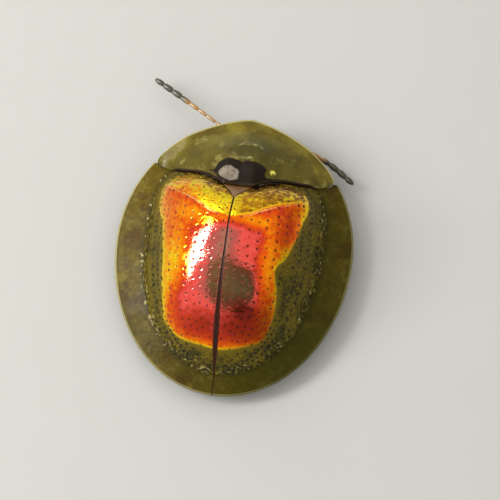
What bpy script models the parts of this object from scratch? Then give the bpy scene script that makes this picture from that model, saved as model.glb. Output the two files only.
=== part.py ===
"""A golden tortoise beetle at its real size, standing on its six feet.

Lengths are in millimetres and become metres in place(). A point is given by x, the distance to
the beetle's left of its midline, by s, the distance forward of the tail tip, and by z, the height
above the ground. In the scene the head points to -Y, the left side to +X, and the origin is on the
ground under the middle of the whole length, feelers included.
"""

import math

import bmesh
import bpy
from mathutils import Matrix, Vector

MM = 0.001

# Driving dimensions, from which the rest is worked out
BODY_LENGTH = 8.5
HALF_WIDTH = 3.60
FEELER_REACH = 9.68
TAIL_Y = FEELER_REACH / 2
SHELL_WALL = 0.5
EDGE_WALL = 0.32
GAP = 0.2
LIMB = 0.5

# The lie of the shield: its rim is level across and rises a little towards the head
RIM_AT_TAIL = 0.58
RIM_RISE = 0.045

# The elytra: a dome inside a flat rim, both drawn from one centre on the midline
DOME_S = 4.5
OUTLINE_FRONT = 3.95
DISC_HALF_WIDTH = 2.70
DISC_REAR = 3.92
DISC_FRONT = 2.60
DISC_FRONT_POWER = 3.5
DISC_REAR_POWER = 2.1
DISC_FOOT = 0.30
DOME_HEIGHT = 2.30
DOME_POWER = 2.6
SHOULDER_X = 2.18
SHOULDER_S = 5.82
HUMP_S = 4.82
HUMP_HEIGHT = 0.07
HUMP_SPREAD = 0.6
BASAL_SLOPE = 0.28
RIDGE_ROUND = 0.12
SHOULDER_KNOB = 0.14
SHOULDER_SPREAD = 0.42

# The pronotum: a lens-shaped shield with a hood over the head
PRONOTUM_HALF_WIDTH = 2.72
PRONOTUM_CORNER_S = 6.95
PRONOTUM_FRONT = BODY_LENGTH - PRONOTUM_CORNER_S
PRONOTUM_FRONT_POWER = 1.42
PRONOTUM_REAR = 0.5
LOBE_DEPTH = 0.6
LOBE_SPREAD = 0.75
LOBE_LIMIT = 0.92
PRONOTUM_LIFT = 0.40
CORNER_DROP = 0.20
HOOD_BEHIND = 0.04
HOOD_PROUD = 0.05
HOOD_HALF_WIDTH = 2.45
HOOD_LENGTH = 2.25
HOOD_POWER = 2.0
HOOD_ROWS = 8
MARGIN_ROWS = 3

# The scutellum, a small triangular plate between the elytra and the pronotum
SCUTELLUM_S = 5.84
SCUTELLUM_HALF_WIDTH = 0.52
SCUTELLUM_TIP_S = 5.46

# The trunk under the shield
TRUNK_TAIL_S = 1.45
TRUNK_FRONT_S = 6.05
TRUNK_WIDEST_S = 4.1
TRUNK_HALF_WIDTH = 1.68
BELLY_Z = 1.02
FLANK_Z = 1.5
BACK_Z = 2.35
ABDOMEN_S = 3.8
VENTRITES = 5
VENTRITE_GROOVE = 0.07

# Base colour, roughness and metallic of the nodes whose names start with these words
LOOKS = {
    "elytron": ((0.78, 0.26, 0.05), 0.25, 0.9),
    "pronotum": ((0.33, 0.27, 0.08), 0.35, 0.0),
    "scutellum": ((0.12, 0.06, 0.03), 0.4, 0.0),
    "abdomen": ((0.06, 0.04, 0.02), 0.5, 0.0),
    "thorax": ((0.05, 0.03, 0.02), 0.5, 0.0),
    "prothorax": ((0.06, 0.04, 0.02), 0.5, 0.0),
    "head": ((0.22, 0.12, 0.04), 0.45, 0.0),
    "mouthparts": ((0.10, 0.05, 0.02), 0.45, 0.0),
    "eye": ((0.01, 0.01, 0.01), 0.2, 0.0),
    "antenna": ((0.45, 0.28, 0.08), 0.45, 0.0),
    "leg": ((0.48, 0.30, 0.09), 0.45, 0.0),
}


def place(x, s, z):
    """The scene's point, in metres, for a point of the beetle in millimetres."""
    return Vector((x * MM, (TAIL_Y - s) * MM, z * MM))


def clear_scene():
    for obj in list(bpy.data.objects):
        bpy.data.objects.remove(obj, do_unlink=True)


def new_collection(name):
    collection = bpy.data.collections.new(name)
    bpy.context.scene.collection.children.link(collection)
    return collection


def make_material(name):
    """A material of the node's own, from the look of its kind."""
    colour, roughness, metallic = LOOKS[name.split("_")[0]]
    material = bpy.data.materials.new(name)
    material.use_nodes = True
    shader = material.node_tree.nodes["Principled BSDF"]
    shader.inputs["Base Color"].default_value = (*colour, 1.0)
    shader.inputs["Roughness"].default_value = roughness
    shader.inputs["Metallic"].default_value = metallic
    return material


def add_node(name, bm, collection):
    """The finished bmesh as a node, shaded smooth apart from its sharp edges."""
    mesh = bpy.data.meshes.new(name)
    bm.to_mesh(mesh)
    bm.free()
    mesh.shade_smooth()
    mesh.set_sharp_from_angle(angle=math.radians(40))
    obj = bpy.data.objects.new(name, mesh)
    collection.objects.link(obj)
    mesh.materials.append(make_material(name))
    return obj


def grid_sheet(columns, rows, point):
    """A grid primitive whose vertex at fractions (u, v) moves to point(u, v), facing upwards."""
    bm = bmesh.new()
    bmesh.ops.create_grid(bm, x_segments=columns, y_segments=rows, size=1.0)
    fractions = [((v.co.x + 1) / 2, (v.co.y + 1) / 2) for v in bm.verts]
    for vertex, (u, v) in zip(bm.verts, fractions):
        vertex.co = point(u, v)
    bmesh.ops.remove_doubles(bm, verts=bm.verts, dist=1e-6)
    bm.normal_update()
    if sum(face.normal.z * face.calc_area() for face in bm.faces) < 0:
        bmesh.ops.reverse_faces(bm, faces=bm.faces)
    return bm


def closed_loft(around, along, point):
    """A grid primitive rolled into a tube by point(u, v), u running round it, with both ends capped."""
    bm = grid_sheet(around, along, point)
    bmesh.ops.holes_fill(bm, edges=bm.edges, sides=0)
    bmesh.ops.triangulate(bm, faces=[f for f in bm.faces if len(f.verts) > 4])
    bmesh.ops.recalc_face_normals(bm, faces=bm.faces)
    return bm


def between(a, b, t):
    return a + (b - a) * t


def smooth_step(low, high, value):
    t = min(1.0, max(0.0, (value - low) / (high - low)))
    return t * t * (3 - 2 * t)


def superellipse_radius(angle, half_width, length, power):
    """The distance from the centre to a superellipse, along a ray at this angle from the midline."""
    across = abs(math.sin(angle)) / half_width
    ahead = abs(math.cos(angle)) / length
    return (across**power + ahead**power) ** (-1 / power)


def rim_z(s):
    """The height of the elytra's outer edge, on top."""
    return RIM_AT_TAIL + RIM_RISE * s


def outline_radius(angle):
    length = OUTLINE_FRONT if math.cos(angle) > 0 else DOME_S
    return superellipse_radius(angle, HALF_WIDTH, length, 2)


def disc_radius(angle):
    if math.cos(angle) > 0:
        return superellipse_radius(angle, DISC_HALF_WIDTH, DISC_FRONT, DISC_FRONT_POWER)
    return superellipse_radius(angle, DISC_HALF_WIDTH, DISC_REAR, DISC_REAR_POWER)


def relief(x, s):
    """The hump, the shoulder knobs and the sunken base in front of the ridges that join them."""
    side = abs(x)
    ridge_s = between(HUMP_S, SHOULDER_S, min(side / SHOULDER_X, 1.0))
    ahead = (s - ridge_s) / RIDGE_ROUND
    fall = ahead if ahead > 30 else math.log1p(math.exp(ahead))
    base = -BASAL_SLOPE * RIDGE_ROUND * fall * (1 - smooth_step(1.8, 2.5, side))
    hump = HUMP_HEIGHT * math.exp(-(x * x + (s - HUMP_S) ** 2) / HUMP_SPREAD**2)
    knob_distance = (side - SHOULDER_X + 0.1) ** 2 + (s - SHOULDER_S) ** 2
    knob = SHOULDER_KNOB * math.exp(-knob_distance / SHOULDER_SPREAD**2)
    return base + hump + knob


def dome_point(angle, ring):
    """The elytra's outer surface: rings from 0 to 1 cross the disc, and from 1 to 2 the flat rim."""
    disc = disc_radius(angle)
    if ring <= 1:
        radius = disc * ring
    else:
        radius = between(disc, outline_radius(angle), ring - 1)
    x = radius * math.sin(angle)
    s = DOME_S + radius * math.cos(angle)
    if ring <= 1:
        rise = DOME_HEIGHT * (1 - ring**DOME_POWER)
        fade = 1 - smooth_step(0.85, 1.0, ring)
        return x, s, rim_z(s) + DISC_FOOT + rise + relief(x, s) * fade
    return x, s, rim_z(s) + DISC_FOOT * (2 - ring) ** 1.3


def dome_height(x, s):
    """The height of the disc's outer surface above a point of the plan."""
    angle = math.atan2(x, s - DOME_S)
    ring = min(1.0, math.hypot(x, s - DOME_S) / disc_radius(angle))
    return dome_point(angle, ring)[2]


def hind_edge(x):
    """The station of the pronotum's hind edge, with its lobe over the scutellum."""
    side = min(abs(x) / PRONOTUM_HALF_WIDTH, 1.0)
    curve = PRONOTUM_REAR * math.sqrt(1 - side * side)
    lobe = LOBE_DEPTH * math.exp(-((x / LOBE_SPREAD) ** 2))
    return PRONOTUM_CORNER_S - min(curve + lobe, LOBE_LIMIT)


def front_edge(x):
    """The station of the pronotum's front edge, a blunt arch."""
    side = min(abs(x) / PRONOTUM_HALF_WIDTH, 1.0)
    power = PRONOTUM_FRONT_POWER
    return PRONOTUM_CORNER_S + PRONOTUM_FRONT * (1 - side**power) ** (1 / power)


def pronotum_point(x, row):
    """The pronotum's outer surface.

    Rows from 0 to 1 climb down the hood, which carries the height of the elytra's base forward over
    the head. Rows from 1 to 2 cross the flat margin in front of it.
    """
    hind = hind_edge(x)
    front = front_edge(x)
    hood_half = math.sqrt(max(0.0, 1 - (x / HOOD_HALF_WIDTH) ** 2))
    hood_end = hind_edge(0) + HOOD_LENGTH * hood_half
    hood_end = min(max(hood_end, between(hind, front, 0.4)), between(hind, front, 0.9))
    if row <= 1:
        s = between(hind, hood_end, row)
    else:
        s = between(hood_end, front, row - 1)
    lift = PRONOTUM_LIFT - CORNER_DROP * smooth_step(1.8, 2.7, abs(x))
    base = dome_height(x, hind - HOOD_BEHIND) + HOOD_PROUD - rim_z(hind) - lift
    base *= 1 - smooth_step(2.25, 2.65, abs(x))
    fall = (1 - min(row, 1.0) ** HOOD_POWER) ** 1.15
    return x, s, rim_z(s) + lift + base * fall


def thicken(obj, edge_share):
    """A wall inwards from the surface, thinner towards its outer edge by the group named inner."""
    solidify = obj.modifiers.new("wall", "SOLIDIFY")
    solidify.thickness = SHELL_WALL * MM
    solidify.offset = -1
    solidify.vertex_group = "inner"
    solidify.thickness_vertex_group = edge_share
    return solidify


def group_inner(obj, inner_share):
    """The group that thins the wall: weight 1 inside and falling to 0 at the outer edge."""
    group = obj.vertex_groups.new(name="inner")
    for vertex in obj.data.vertices:
        group.add([vertex.index], inner_share(vertex.co), "REPLACE")


def dome_share(co):
    """1 on the disc, falling to 0 at the outline."""
    x = co.x / MM
    s = TAIL_Y - co.y / MM
    angle = math.atan2(x, s - DOME_S)
    radius = math.hypot(x, s - DOME_S)
    disc = disc_radius(angle)
    return min(1.0, max(0.0, 1 - (radius - disc) / (outline_radius(angle) - disc)))


def pronotum_share(co):
    """1 inside, falling to 0 over the last 0.6 mm before the front edge."""
    x = co.x / MM
    s = TAIL_Y - co.y / MM
    return min(1.0, max(0.0, (front_edge(x) - s) / 0.6))


def plan_cutter(name, outline, collection):
    """A tall prism over a closed outline of (x, s) points, from a flat curve made a mesh."""
    curve = bpy.data.curves.new(name, "CURVE")
    curve.dimensions = "2D"
    curve.fill_mode = "BOTH"
    curve.extrude = 6 * MM
    spline = curve.splines.new("POLY")
    spline.points.add(len(outline) - 1)
    for point, (x, s) in zip(spline.points, outline):
        point.co = (*place(x, s, 0), 1.0)
    spline.use_cyclic_u = True
    guide = bpy.data.objects.new(name + "_curve", curve)
    collection.objects.link(guide)
    bpy.context.view_layer.update()
    graph = bpy.context.evaluated_depsgraph_get()
    mesh = bpy.data.meshes.new_from_object(guide.evaluated_get(graph))
    bpy.data.objects.remove(guide)
    bm = bmesh.new()
    bm.from_mesh(mesh)
    bmesh.ops.remove_doubles(bm, verts=bm.verts, dist=1e-6)
    bmesh.ops.recalc_face_normals(bm, faces=bm.faces)
    bm.to_mesh(mesh)
    bm.free()
    cutter = bpy.data.objects.new(name, mesh)
    cutter.hide_render = True
    cutter.display_type = "WIRE"
    collection.objects.link(cutter)
    return cutter


def elytron_outline(side):
    """The plan of one elytron: the suture, the notch for the scutellum, and the pronotum's hind edge."""
    outer = HALF_WIDTH + 1
    notch_s = SCUTELLUM_S - 0.02
    outline = [
        (GAP / 2, -1.0),
        (GAP / 2, SCUTELLUM_TIP_S - 0.28),
        (SCUTELLUM_HALF_WIDTH + 0.25, notch_s),
    ]
    steps = 12
    for i in range(steps + 1):
        x = between(SCUTELLUM_HALF_WIDTH + 0.33, PRONOTUM_HALF_WIDTH + 0.12, i / steps)
        outline.append((x, hind_edge(x) - GAP * 1.25))
    outline += [(outer, PRONOTUM_CORNER_S - 0.1), (outer, -1.0)]
    return [(x * side, s) for x, s in outline]


def keep_largest(obj):
    """The modifiers applied, and all but the largest closed surface dropped."""
    graph = bpy.context.evaluated_depsgraph_get()
    mesh = bpy.data.meshes.new_from_object(obj.evaluated_get(graph))
    obj.modifiers.clear()
    obj.vertex_groups.clear()
    bm = bmesh.new()
    bm.from_mesh(mesh)
    unseen = set(bm.faces)
    islands = []
    while unseen:
        front = [unseen.pop()]
        island = list(front)
        while front:
            face = front.pop()
            for edge in face.edges:
                for other in edge.link_faces:
                    if other in unseen:
                        unseen.remove(other)
                        front.append(other)
                        island.append(other)
        islands.append(island)
    islands.sort(key=lambda faces: sum(f.calc_area() for f in faces))
    for island in islands[:-1]:
        bmesh.ops.delete(bm, geom=island, context="FACES")
    bm.to_mesh(mesh)
    bm.free()
    obj.data = mesh


def build_elytra(parts, cutters):
    """Both elytra, parted from one domed shell by the plans of the left and the right one."""
    spokes = 64
    disc_rings = 11
    rim_rings = 3

    def point(u, v):
        ring = v * (disc_rings + rim_rings) / disc_rings
        if ring > 1:
            ring = 1 + (ring - 1) * disc_rings / rim_rings
        return place(*dome_point(2 * math.pi * u, ring))

    for side, word in ((1, "left"), (-1, "right")):
        bm = grid_sheet(spokes, disc_rings + rim_rings, point)
        elytron = add_node("elytron_" + word, bm, parts)
        group_inner(elytron, dome_share)
        thicken(elytron, EDGE_WALL / SHELL_WALL)
        cut = elytron.modifiers.new("plan", "BOOLEAN")
        cut.operation = "INTERSECT"
        cut.object = plan_cutter("plan_" + word, elytron_outline(side), cutters)
        keep_largest(elytron)


def build_pronotum(parts):
    columns = 28
    rows = HOOD_ROWS + MARGIN_ROWS

    def point(u, v):
        x = PRONOTUM_HALF_WIDTH * math.sin(math.pi * (u - 0.5))
        row = v * rows / HOOD_ROWS
        if row > 1:
            row = 1 + (row - 1) * HOOD_ROWS / MARGIN_ROWS
        return place(*pronotum_point(x, row))

    pronotum = add_node("pronotum", grid_sheet(columns, rows, point), parts)
    group_inner(pronotum, pronotum_share)
    thicken(pronotum, EDGE_WALL / SHELL_WALL)


def build_scutellum(parts):
    """A triangular plate with its tip to the rear, sloping as the elytra do on each side."""

    def point(u, v):
        half = SCUTELLUM_HALF_WIDTH * (1 - 0.9 * v)
        s = between(SCUTELLUM_S, SCUTELLUM_TIP_S, v)
        x = half * math.cos(2 * math.pi * u)
        z = dome_height(0, s) - 0.04 + SHELL_WALL / 2 * (math.sin(2 * math.pi * u) - 1)
        return place(x, s, z)

    add_node("scutellum", closed_loft(8, 3, point), parts)


def under_shell(x, s, depth):
    """The height at this depth below the dome, measured square to its surface."""
    step = 0.02
    slope_x = (dome_height(x + step, s) - dome_height(x - step, s)) / (2 * step)
    slope_s = (dome_height(x, s + step) - dome_height(x, s - step)) / (2 * step)
    return dome_height(x, s) - depth * math.sqrt(1 + slope_x**2 + slope_s**2)


def trunk_half_width(s):
    """Half the trunk's width: widest at the hind legs, and rounded off towards the tail."""
    if s < TRUNK_WIDEST_S:
        t = (TRUNK_WIDEST_S - s) / (TRUNK_WIDEST_S - TRUNK_TAIL_S + 0.12)
        return TRUNK_HALF_WIDTH * (1 - t**2.4) ** 0.5
    t = (s - TRUNK_WIDEST_S) / (TRUNK_FRONT_S - TRUNK_WIDEST_S)
    return TRUNK_HALF_WIDTH * (1 - 0.3 * t * t)


def trunk_section(s, angle):
    """The trunk's skin at a station: a blunt keel below, flanks, and a back under the elytra."""
    half = trunk_half_width(s)
    x = half * math.cos(angle)
    depth = SHELL_WALL + GAP + 0.12
    flank = min(FLANK_Z, under_shell(half, s, depth) - 0.02)
    turn = abs(math.sin(angle))
    if math.sin(angle) > 0:
        back = max(flank + 0.12, min(BACK_Z, under_shell(0, s, depth)))
        top = flank + (back - flank) * turn**0.9
        return x, s, max(flank, min(top, under_shell(x, s, depth)))
    tail = 1 - smooth_step(TRUNK_TAIL_S, TRUNK_TAIL_S + 1.6, s)
    belly = between(BELLY_Z, flank - 0.12, 0.5 * tail)
    belly = min(belly, flank - 0.15)
    return x, s, flank - (flank - belly) * turn**1.5


def ventrite_groove(s):
    """The shallow steps between the abdomen's plates."""
    length = (ABDOMEN_S - TRUNK_TAIL_S) / VENTRITES
    place_in_plate = ((s - TRUNK_TAIL_S) / length) % 1.0
    return VENTRITE_GROOVE * place_in_plate


PROTHORAX_SIZES = (
    ((0, 6.28, 1.4), 0.86, 0.3),
    ((0, 6.45, 1.4), 0.98, 0.36),
    ((0, 6.7, 1.35), 0.95, 0.34),
    ((0, 6.9, 1.25), 0.78, 0.26),
)


def build_trunk(parts):
    """The abdomen, the thorax and the prothorax, in one line with thin gaps between them."""
    lengths = (
        ("abdomen", TRUNK_TAIL_S, ABDOMEN_S, 2 * VENTRITES),
        ("thorax", ABDOMEN_S + GAP, TRUNK_FRONT_S, 6),
    )
    for name, start, end, rows in lengths:

        def point(u, v):
            s = between(start, end, v)
            x, s, z = trunk_section(s, 2 * math.pi * u)
            if name == "abdomen" and math.sin(2 * math.pi * u) < -0.3:
                z += ventrite_groove(s)
            return place(x, s, z)

        add_node(name, closed_loft(20, rows, point), parts)
    limb_loft("prothorax", PROTHORAX_SIZES, 16, parts)


def limb_loft(name, stations, around, parts):
    """A limb through stations of (centre, half width, half height), flat where it meets the ground.

    A centre is (x, s, z). The section is an ellipse across the way to the next station, turned so
    that it has an edge and not a corner at the bottom.
    """
    centres = [Vector((x, -s, z)) for (x, s, z), _, _ in stations]

    def frame(i):
        ahead = centres[min(i + 1, len(centres) - 1)] - centres[max(i - 1, 0)]
        ahead.normalize()
        across = ahead.cross(Vector((0, 0, 1)))
        if across.length < 0.2:
            across = ahead.cross(Vector((0, 1, 0)))
        across.normalize()
        return across, across.cross(ahead)

    def point(u, v):
        i = round(v * (len(stations) - 1))
        across, up = frame(i)
        _, width, height = stations[i]
        angle = 2 * math.pi * (u + 0.5 / around)
        p = centres[i] + across * width * math.cos(angle) + up * height * math.sin(angle)
        return place(p.x, -p.y, max(0.0, p.z))

    bm = closed_loft(around, len(stations) - 1, point)
    return add_node(name, bm, parts)


def stations_along(start, end, sizes):
    """Stations on a straight line, from sizes of (fraction, half width, half height)."""
    a, b = Vector(start), Vector(end)
    return [(tuple(a.lerp(b, t)), width, height) for t, width, height in sizes]


# Each leg's joints on the left side: hip, knee, ankle and toe
LEGS = {
    "front": ((0.5, 6.5, 0.6), (1.5, 6.92, 0.84), (1.88, 6.56, 0.26), (2.28, 7.1, 0.17)),
    "middle": ((0.66, 5.3, 0.56), (1.82, 5.35, 0.86), (1.98, 4.5, 0.26), (2.12, 3.6, 0.17)),
    "hind": ((0.58, 3.85, 0.56), (1.72, 3.4, 0.83), (1.52, 2.5, 0.26), (1.42, 1.62, 0.17)),
}
FEMUR_SIZES = (
    (0, 0.17, 0.16),
    (0.08, 0.26, 0.23),
    (0.4, 0.31, 0.26),
    (0.75, 0.28, 0.26),
    (0.94, 0.24, 0.24),
    (1, 0.16, 0.18),
)
TIBIA_SIZES = ((0, 0.16, 0.16), (0.1, 0.24, 0.24), (0.65, 0.25, 0.25), (0.92, 0.29, 0.25), (1, 0.24, 0.2))
TARSUS_SIZES = (
    (0, 0.2, 0.2),
    (0.2, 0.25, 0.23),
    (0.3, 0.21, 0.22),
    (0.5, 0.31, 0.23),
    (0.66, 0.28, 0.22),
    (0.78, 0.22, 0.2),
    (1, 0.14, 0.18),
)


def shortened(start, end, cut_start, cut_end):
    """The same line with its ends drawn in by these lengths."""
    a, b = Vector(start), Vector(end)
    ahead = (b - a).normalized()
    return a + ahead * cut_start, b - ahead * cut_end


def build_legs(parts):
    for side, word in ((1, "left"), (-1, "right")):
        for leg, joints in LEGS.items():
            hip, knee, ankle, toe = [Vector((x * side, s, z)) for x, s, z in joints]
            name = "leg_" + leg + "_" + word
            runs = (
                ("_femur", hip, knee, 0.0, 0.0, FEMUR_SIZES),
                ("_tibia", knee, ankle, 0.45, 0.0, TIBIA_SIZES),
                ("_tarsus", ankle, toe, 0.46, 0.0, TARSUS_SIZES),
            )
            for part, start, end, cut_start, cut_end, sizes in runs:
                a, b = shortened(start, end, cut_start, cut_end)
                limb_loft(name + part, stations_along(a, b, sizes), 8, parts)


# Feelers from root to tip. The left one reaches forward, and the right one out to the side
FEELER_LEFT = ((0.3, 8.1, 0.57), (0.75, 8.27, 0.55), (1.5, 8.62, 0.52), (2.3, 9.05, 0.5), (3.15, 9.54, 0.5))
FEELER_RIGHT = ((-0.3, 8.1, 0.57), (-0.8, 8.06, 0.55), (-1.55, 7.86, 0.52), (-2.4, 7.52, 0.5), (-3.22, 7.08, 0.5))
FEELER_SEGMENTS = 11
CLUB_SEGMENTS = 4


def along_points(points, t):
    """A point at fraction t of the way along straight runs between points."""
    vectors = [Vector(p) for p in points]
    lengths = [(b - a).length for a, b in zip(vectors, vectors[1:])]
    left = t * sum(lengths)
    for a, b, length in zip(vectors, vectors[1:], lengths):
        if left <= length:
            return a.lerp(b, left / length)
        left -= length
    return vectors[-1]


def build_feelers(parts):
    """Each feeler is a string of beads, one for each segment, fused end to end."""
    for name, points in (("antenna_left", FEELER_LEFT), ("antenna_right", FEELER_RIGHT)):
        stations = []
        for i in range(FEELER_SEGMENTS):
            last = i == FEELER_SEGMENTS - 1
            full = LIMB / 2 * (1.0 if i < FEELER_SEGMENTS - CLUB_SEGMENTS else 1.08)
            for share, size in ((0.04, 0.84), (0.5, 1.0), (0.9, 0.62 if last else 0.96)):
                t = (i + share) / FEELER_SEGMENTS
                stations.append((tuple(along_points(points, t)), full * size, full * size))
        stations.append((tuple(along_points(points, 1.0)), 0.08, 0.08))
        limb_loft(name, stations, 8, parts)


HEAD_SIZES = (
    ((0, 7.14, 0.9), 0.34, 0.26),
    ((0, 7.24, 0.87), 0.46, 0.34),
    ((0, 7.45, 0.81), 0.5, 0.36),
    ((0, 7.64, 0.76), 0.44, 0.3),
    ((0, 7.74, 0.73), 0.28, 0.2),
)


def build_head(parts):
    limb_loft("head", [((x, s, z), w, h) for (x, s, z), w, h in HEAD_SIZES], 12, parts)
    mouth = stations_along((0, 7.5, 0.24), (0, 7.56, 0.1), ((0, 0.26, 0.16), (0.6, 0.22, 0.14), (1, 0.12, 0.1)))
    limb_loft("mouthparts", mouth, 10, parts)
    for side, word in ((1, "left"), (-1, "right")):
        dome = [((side * (0.7 + 0.26 * t), 7.42, 0.75), 0.27 * w, 0.28 * w) for t, w in ((0, 1.0), (0.5, 0.87), (0.85, 0.5), (1, 0.15))]
        limb_loft("eye_" + word, dome, 12, parts)


def main():
    clear_scene()
    bpy.context.scene.unit_settings.system = "METRIC"
    parts = new_collection("tortoise_beetle")
    cutters = new_collection("cutters")
    build_elytra(parts, cutters)
    build_pronotum(parts)
    build_scutellum(parts)
    build_trunk(parts)
    build_head(parts)
    build_legs(parts)
    build_feelers(parts)


main()
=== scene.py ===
"""A golden tortoise beetle at life size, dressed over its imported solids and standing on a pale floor.

Shapes are worked out in millimetres as (x, s, z): x to the beetle's left of its midline, s forward of
the tail tip, z above the floor. They become metres in add_piece(), with the head towards -Y.
"""

import math

import bmesh
import bpy
import numpy as np
from mathutils import Matrix, Vector


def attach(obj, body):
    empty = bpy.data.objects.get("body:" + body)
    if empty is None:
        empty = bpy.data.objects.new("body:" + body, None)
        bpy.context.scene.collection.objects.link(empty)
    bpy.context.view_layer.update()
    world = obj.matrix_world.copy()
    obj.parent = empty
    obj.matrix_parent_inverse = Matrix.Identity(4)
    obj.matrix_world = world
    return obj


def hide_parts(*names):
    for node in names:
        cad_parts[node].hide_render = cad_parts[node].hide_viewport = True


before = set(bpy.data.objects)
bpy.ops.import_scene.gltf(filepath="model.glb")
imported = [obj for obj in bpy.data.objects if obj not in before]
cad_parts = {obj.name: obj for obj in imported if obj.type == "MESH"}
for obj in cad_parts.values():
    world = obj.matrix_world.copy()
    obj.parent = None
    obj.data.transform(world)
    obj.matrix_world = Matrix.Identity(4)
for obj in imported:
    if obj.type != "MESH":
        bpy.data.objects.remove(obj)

bl_info = {
    "name": "Golden Tortoise Beetle",
    "version": (1, 0, 0),
    "blender": (4, 5, 0),
    "location": "View3D > Sidebar > Beetle",
    "description": "Builds a life-size golden tortoise beetle, its cuticle finishes and its stage",
    "category": "Add Mesh",
}

MM = 0.001
TAU = 2 * math.pi

# The form of the shell, in millimetres: a dome inside a flat rim
TAIL_Y = 4.84
RIM_AT_TAIL = 0.58
RIM_RISE = 0.045
RIM_FALL_POWER = 1.3
HALF_WIDTH = 3.60
DOME_S = 4.5
OUTLINE_FRONT = 3.95
DISC_HALF_WIDTH = 2.70
DISC_REAR = 3.92
DISC_FRONT = 2.60
DISC_REAR_POWER = 2.1
DISC_FRONT_POWER = 3.5
DISC_FOOT = 0.30
DOME_HEIGHT = 2.30
DOME_POWER = 2.6
SEAM = 0.004
BASE_GAP = 0.03
BASE_TUCK = 0.14
NOTCH_S = 5.47

# The relief on the dome: ridges as (x, s), a hump and the shoulders' knobs
RIDGES = ((0.0, 4.72), (0.6, 4.92), (1.0, 5.18), (1.43, 5.45), (2.28, 5.92), (3.6, 6.3))
RIDGE_ROUND = 0.12
BASAL_SLOPE = 0.28
HUMP_S = 4.82
HUMP_HEIGHT = 0.07
HUMP_SPREAD = 0.6
KNOB_X = 2.08
KNOB_S = 5.82
KNOB_HEIGHT = 0.14
KNOB_SPREAD = 0.42

# The pronotum: a lens-shaped shield with a hood over the head
PRONOTUM_HALF_WIDTH = 2.72
PRONOTUM_CORNER_S = 6.95
PRONOTUM_FRONT = 1.55
PRONOTUM_FRONT_POWER = 1.42
PRONOTUM_REAR = 0.5
PRONOTUM_LIFT = 0.40
LOBE_DEPTH = 0.6
LOBE_SPREAD = 0.75
LOBE_LIMIT = 0.92
CORNER_DROP = 0.20
HOOD_BEHIND = 0.04
HOOD_PROUD = 0.05
HOOD_HALF_WIDTH = 2.45
HOOD_LENGTH = 2.25

# The trunk beneath
TRUNK_TAIL_S = 1.45
ABDOMEN_S = 3.8
TRUNK_FRONT_S = 6.05
TRUNK_WIDEST_S = 4.1
TRUNK_HALF_WIDTH = 1.68
SHELL_DEPTH = 0.82
BELLY_Z = 1.02
FLANK_Z = 1.5
BACK_Z = 2.35
VENTRITES = 5

# The left legs' hip, knee, ankle and toe
LEGS = {
    "front": ((0.5, 6.5, 0.6), (1.5, 6.92, 0.84), (1.88, 6.56, 0.26), (2.28, 7.1, 0.17)),
    "middle": ((0.66, 5.3, 0.56), (1.82, 5.35, 0.86), (1.98, 4.5, 0.26), (2.12, 3.6, 0.17)),
    "hind": ((0.58, 3.85, 0.56), (1.72, 3.4, 0.83), (1.52, 2.5, 0.26), (1.42, 1.62, 0.17)),
}

# The feelers, from the head to their tips
FEELERS = {
    "left": ((0.3, 8.1, 0.57), (0.75, 8.31, 0.55), (1.25, 8.6, 0.53), (2.38, 9.25, 0.5), (3.31, 9.76, 0.5)),
    "right": (
        (-0.3, 8.1, 0.57),
        (-0.8, 8.15, 0.55),
        (-1.55, 8.06, 0.52),
        (-2.4, 7.72, 0.5),
        (-3.3, 7.13, 0.5),
    ),
}
SEGMENT_SIZES = (1.6, 1.15, 0.95, 0.95, 1.0, 1.05, 1.25, 1.65, 1.85, 1.9, 1.7)

# The outline of the mirror-bright shield on the elytra, as (x, s). Outside it the disc is painted dark olive,
# as a painted reflection of dark surroundings
SHIELD = (
    (2.28, 5.99),
    (2.34, 5.68),
    (2.33, 5.2),
    (2.12, 4.7),
    (1.95, 3.8),
    (1.86, 2.9),
    (1.73, 2.05),
    (1.62, 1.8),
    (1.16, 1.39),
    (0.5, 1.21),
    (-0.18, 1.14),
    (-0.92, 1.35),
    (-1.38, 1.65),
    (-1.59, 2.23),
    (-1.63, 2.87),
    (-1.52, 3.5),
    (-1.76, 3.92),
    (-1.94, 4.51),
    (-2.1, 5.2),
    (-2.19, 5.6),
    (-2.12, 6.0),
    (-1.6, 6.35),
    (-0.6, 6.3),
    (0.0, 6.0),
    (0.6, 6.35),
    (1.6, 6.45),
)

# The shield's tint, from 0 mauve to 1 olive, by the distance inside its outline
INSIDE_TINTS = ((0, 0.93), (0.07, 0.76), (0.18, 0.62), (0.4, 0.5), (0.75, 0.37), (1.05, 0.27), (1.5, 0.15))

# Its tint in front of the ridges, by x
FRONT_TINTS = (
    (-2.2, 0.92),
    (-1.4, 0.95),
    (-0.4, 0.93),
    (-0.1, 0.88),
    (0.0, 0.82),
    (0.9, 0.82),
    (1.1, 0.74),
    (1.6, 0.68),
    (2.2, 0.86),
)
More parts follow.
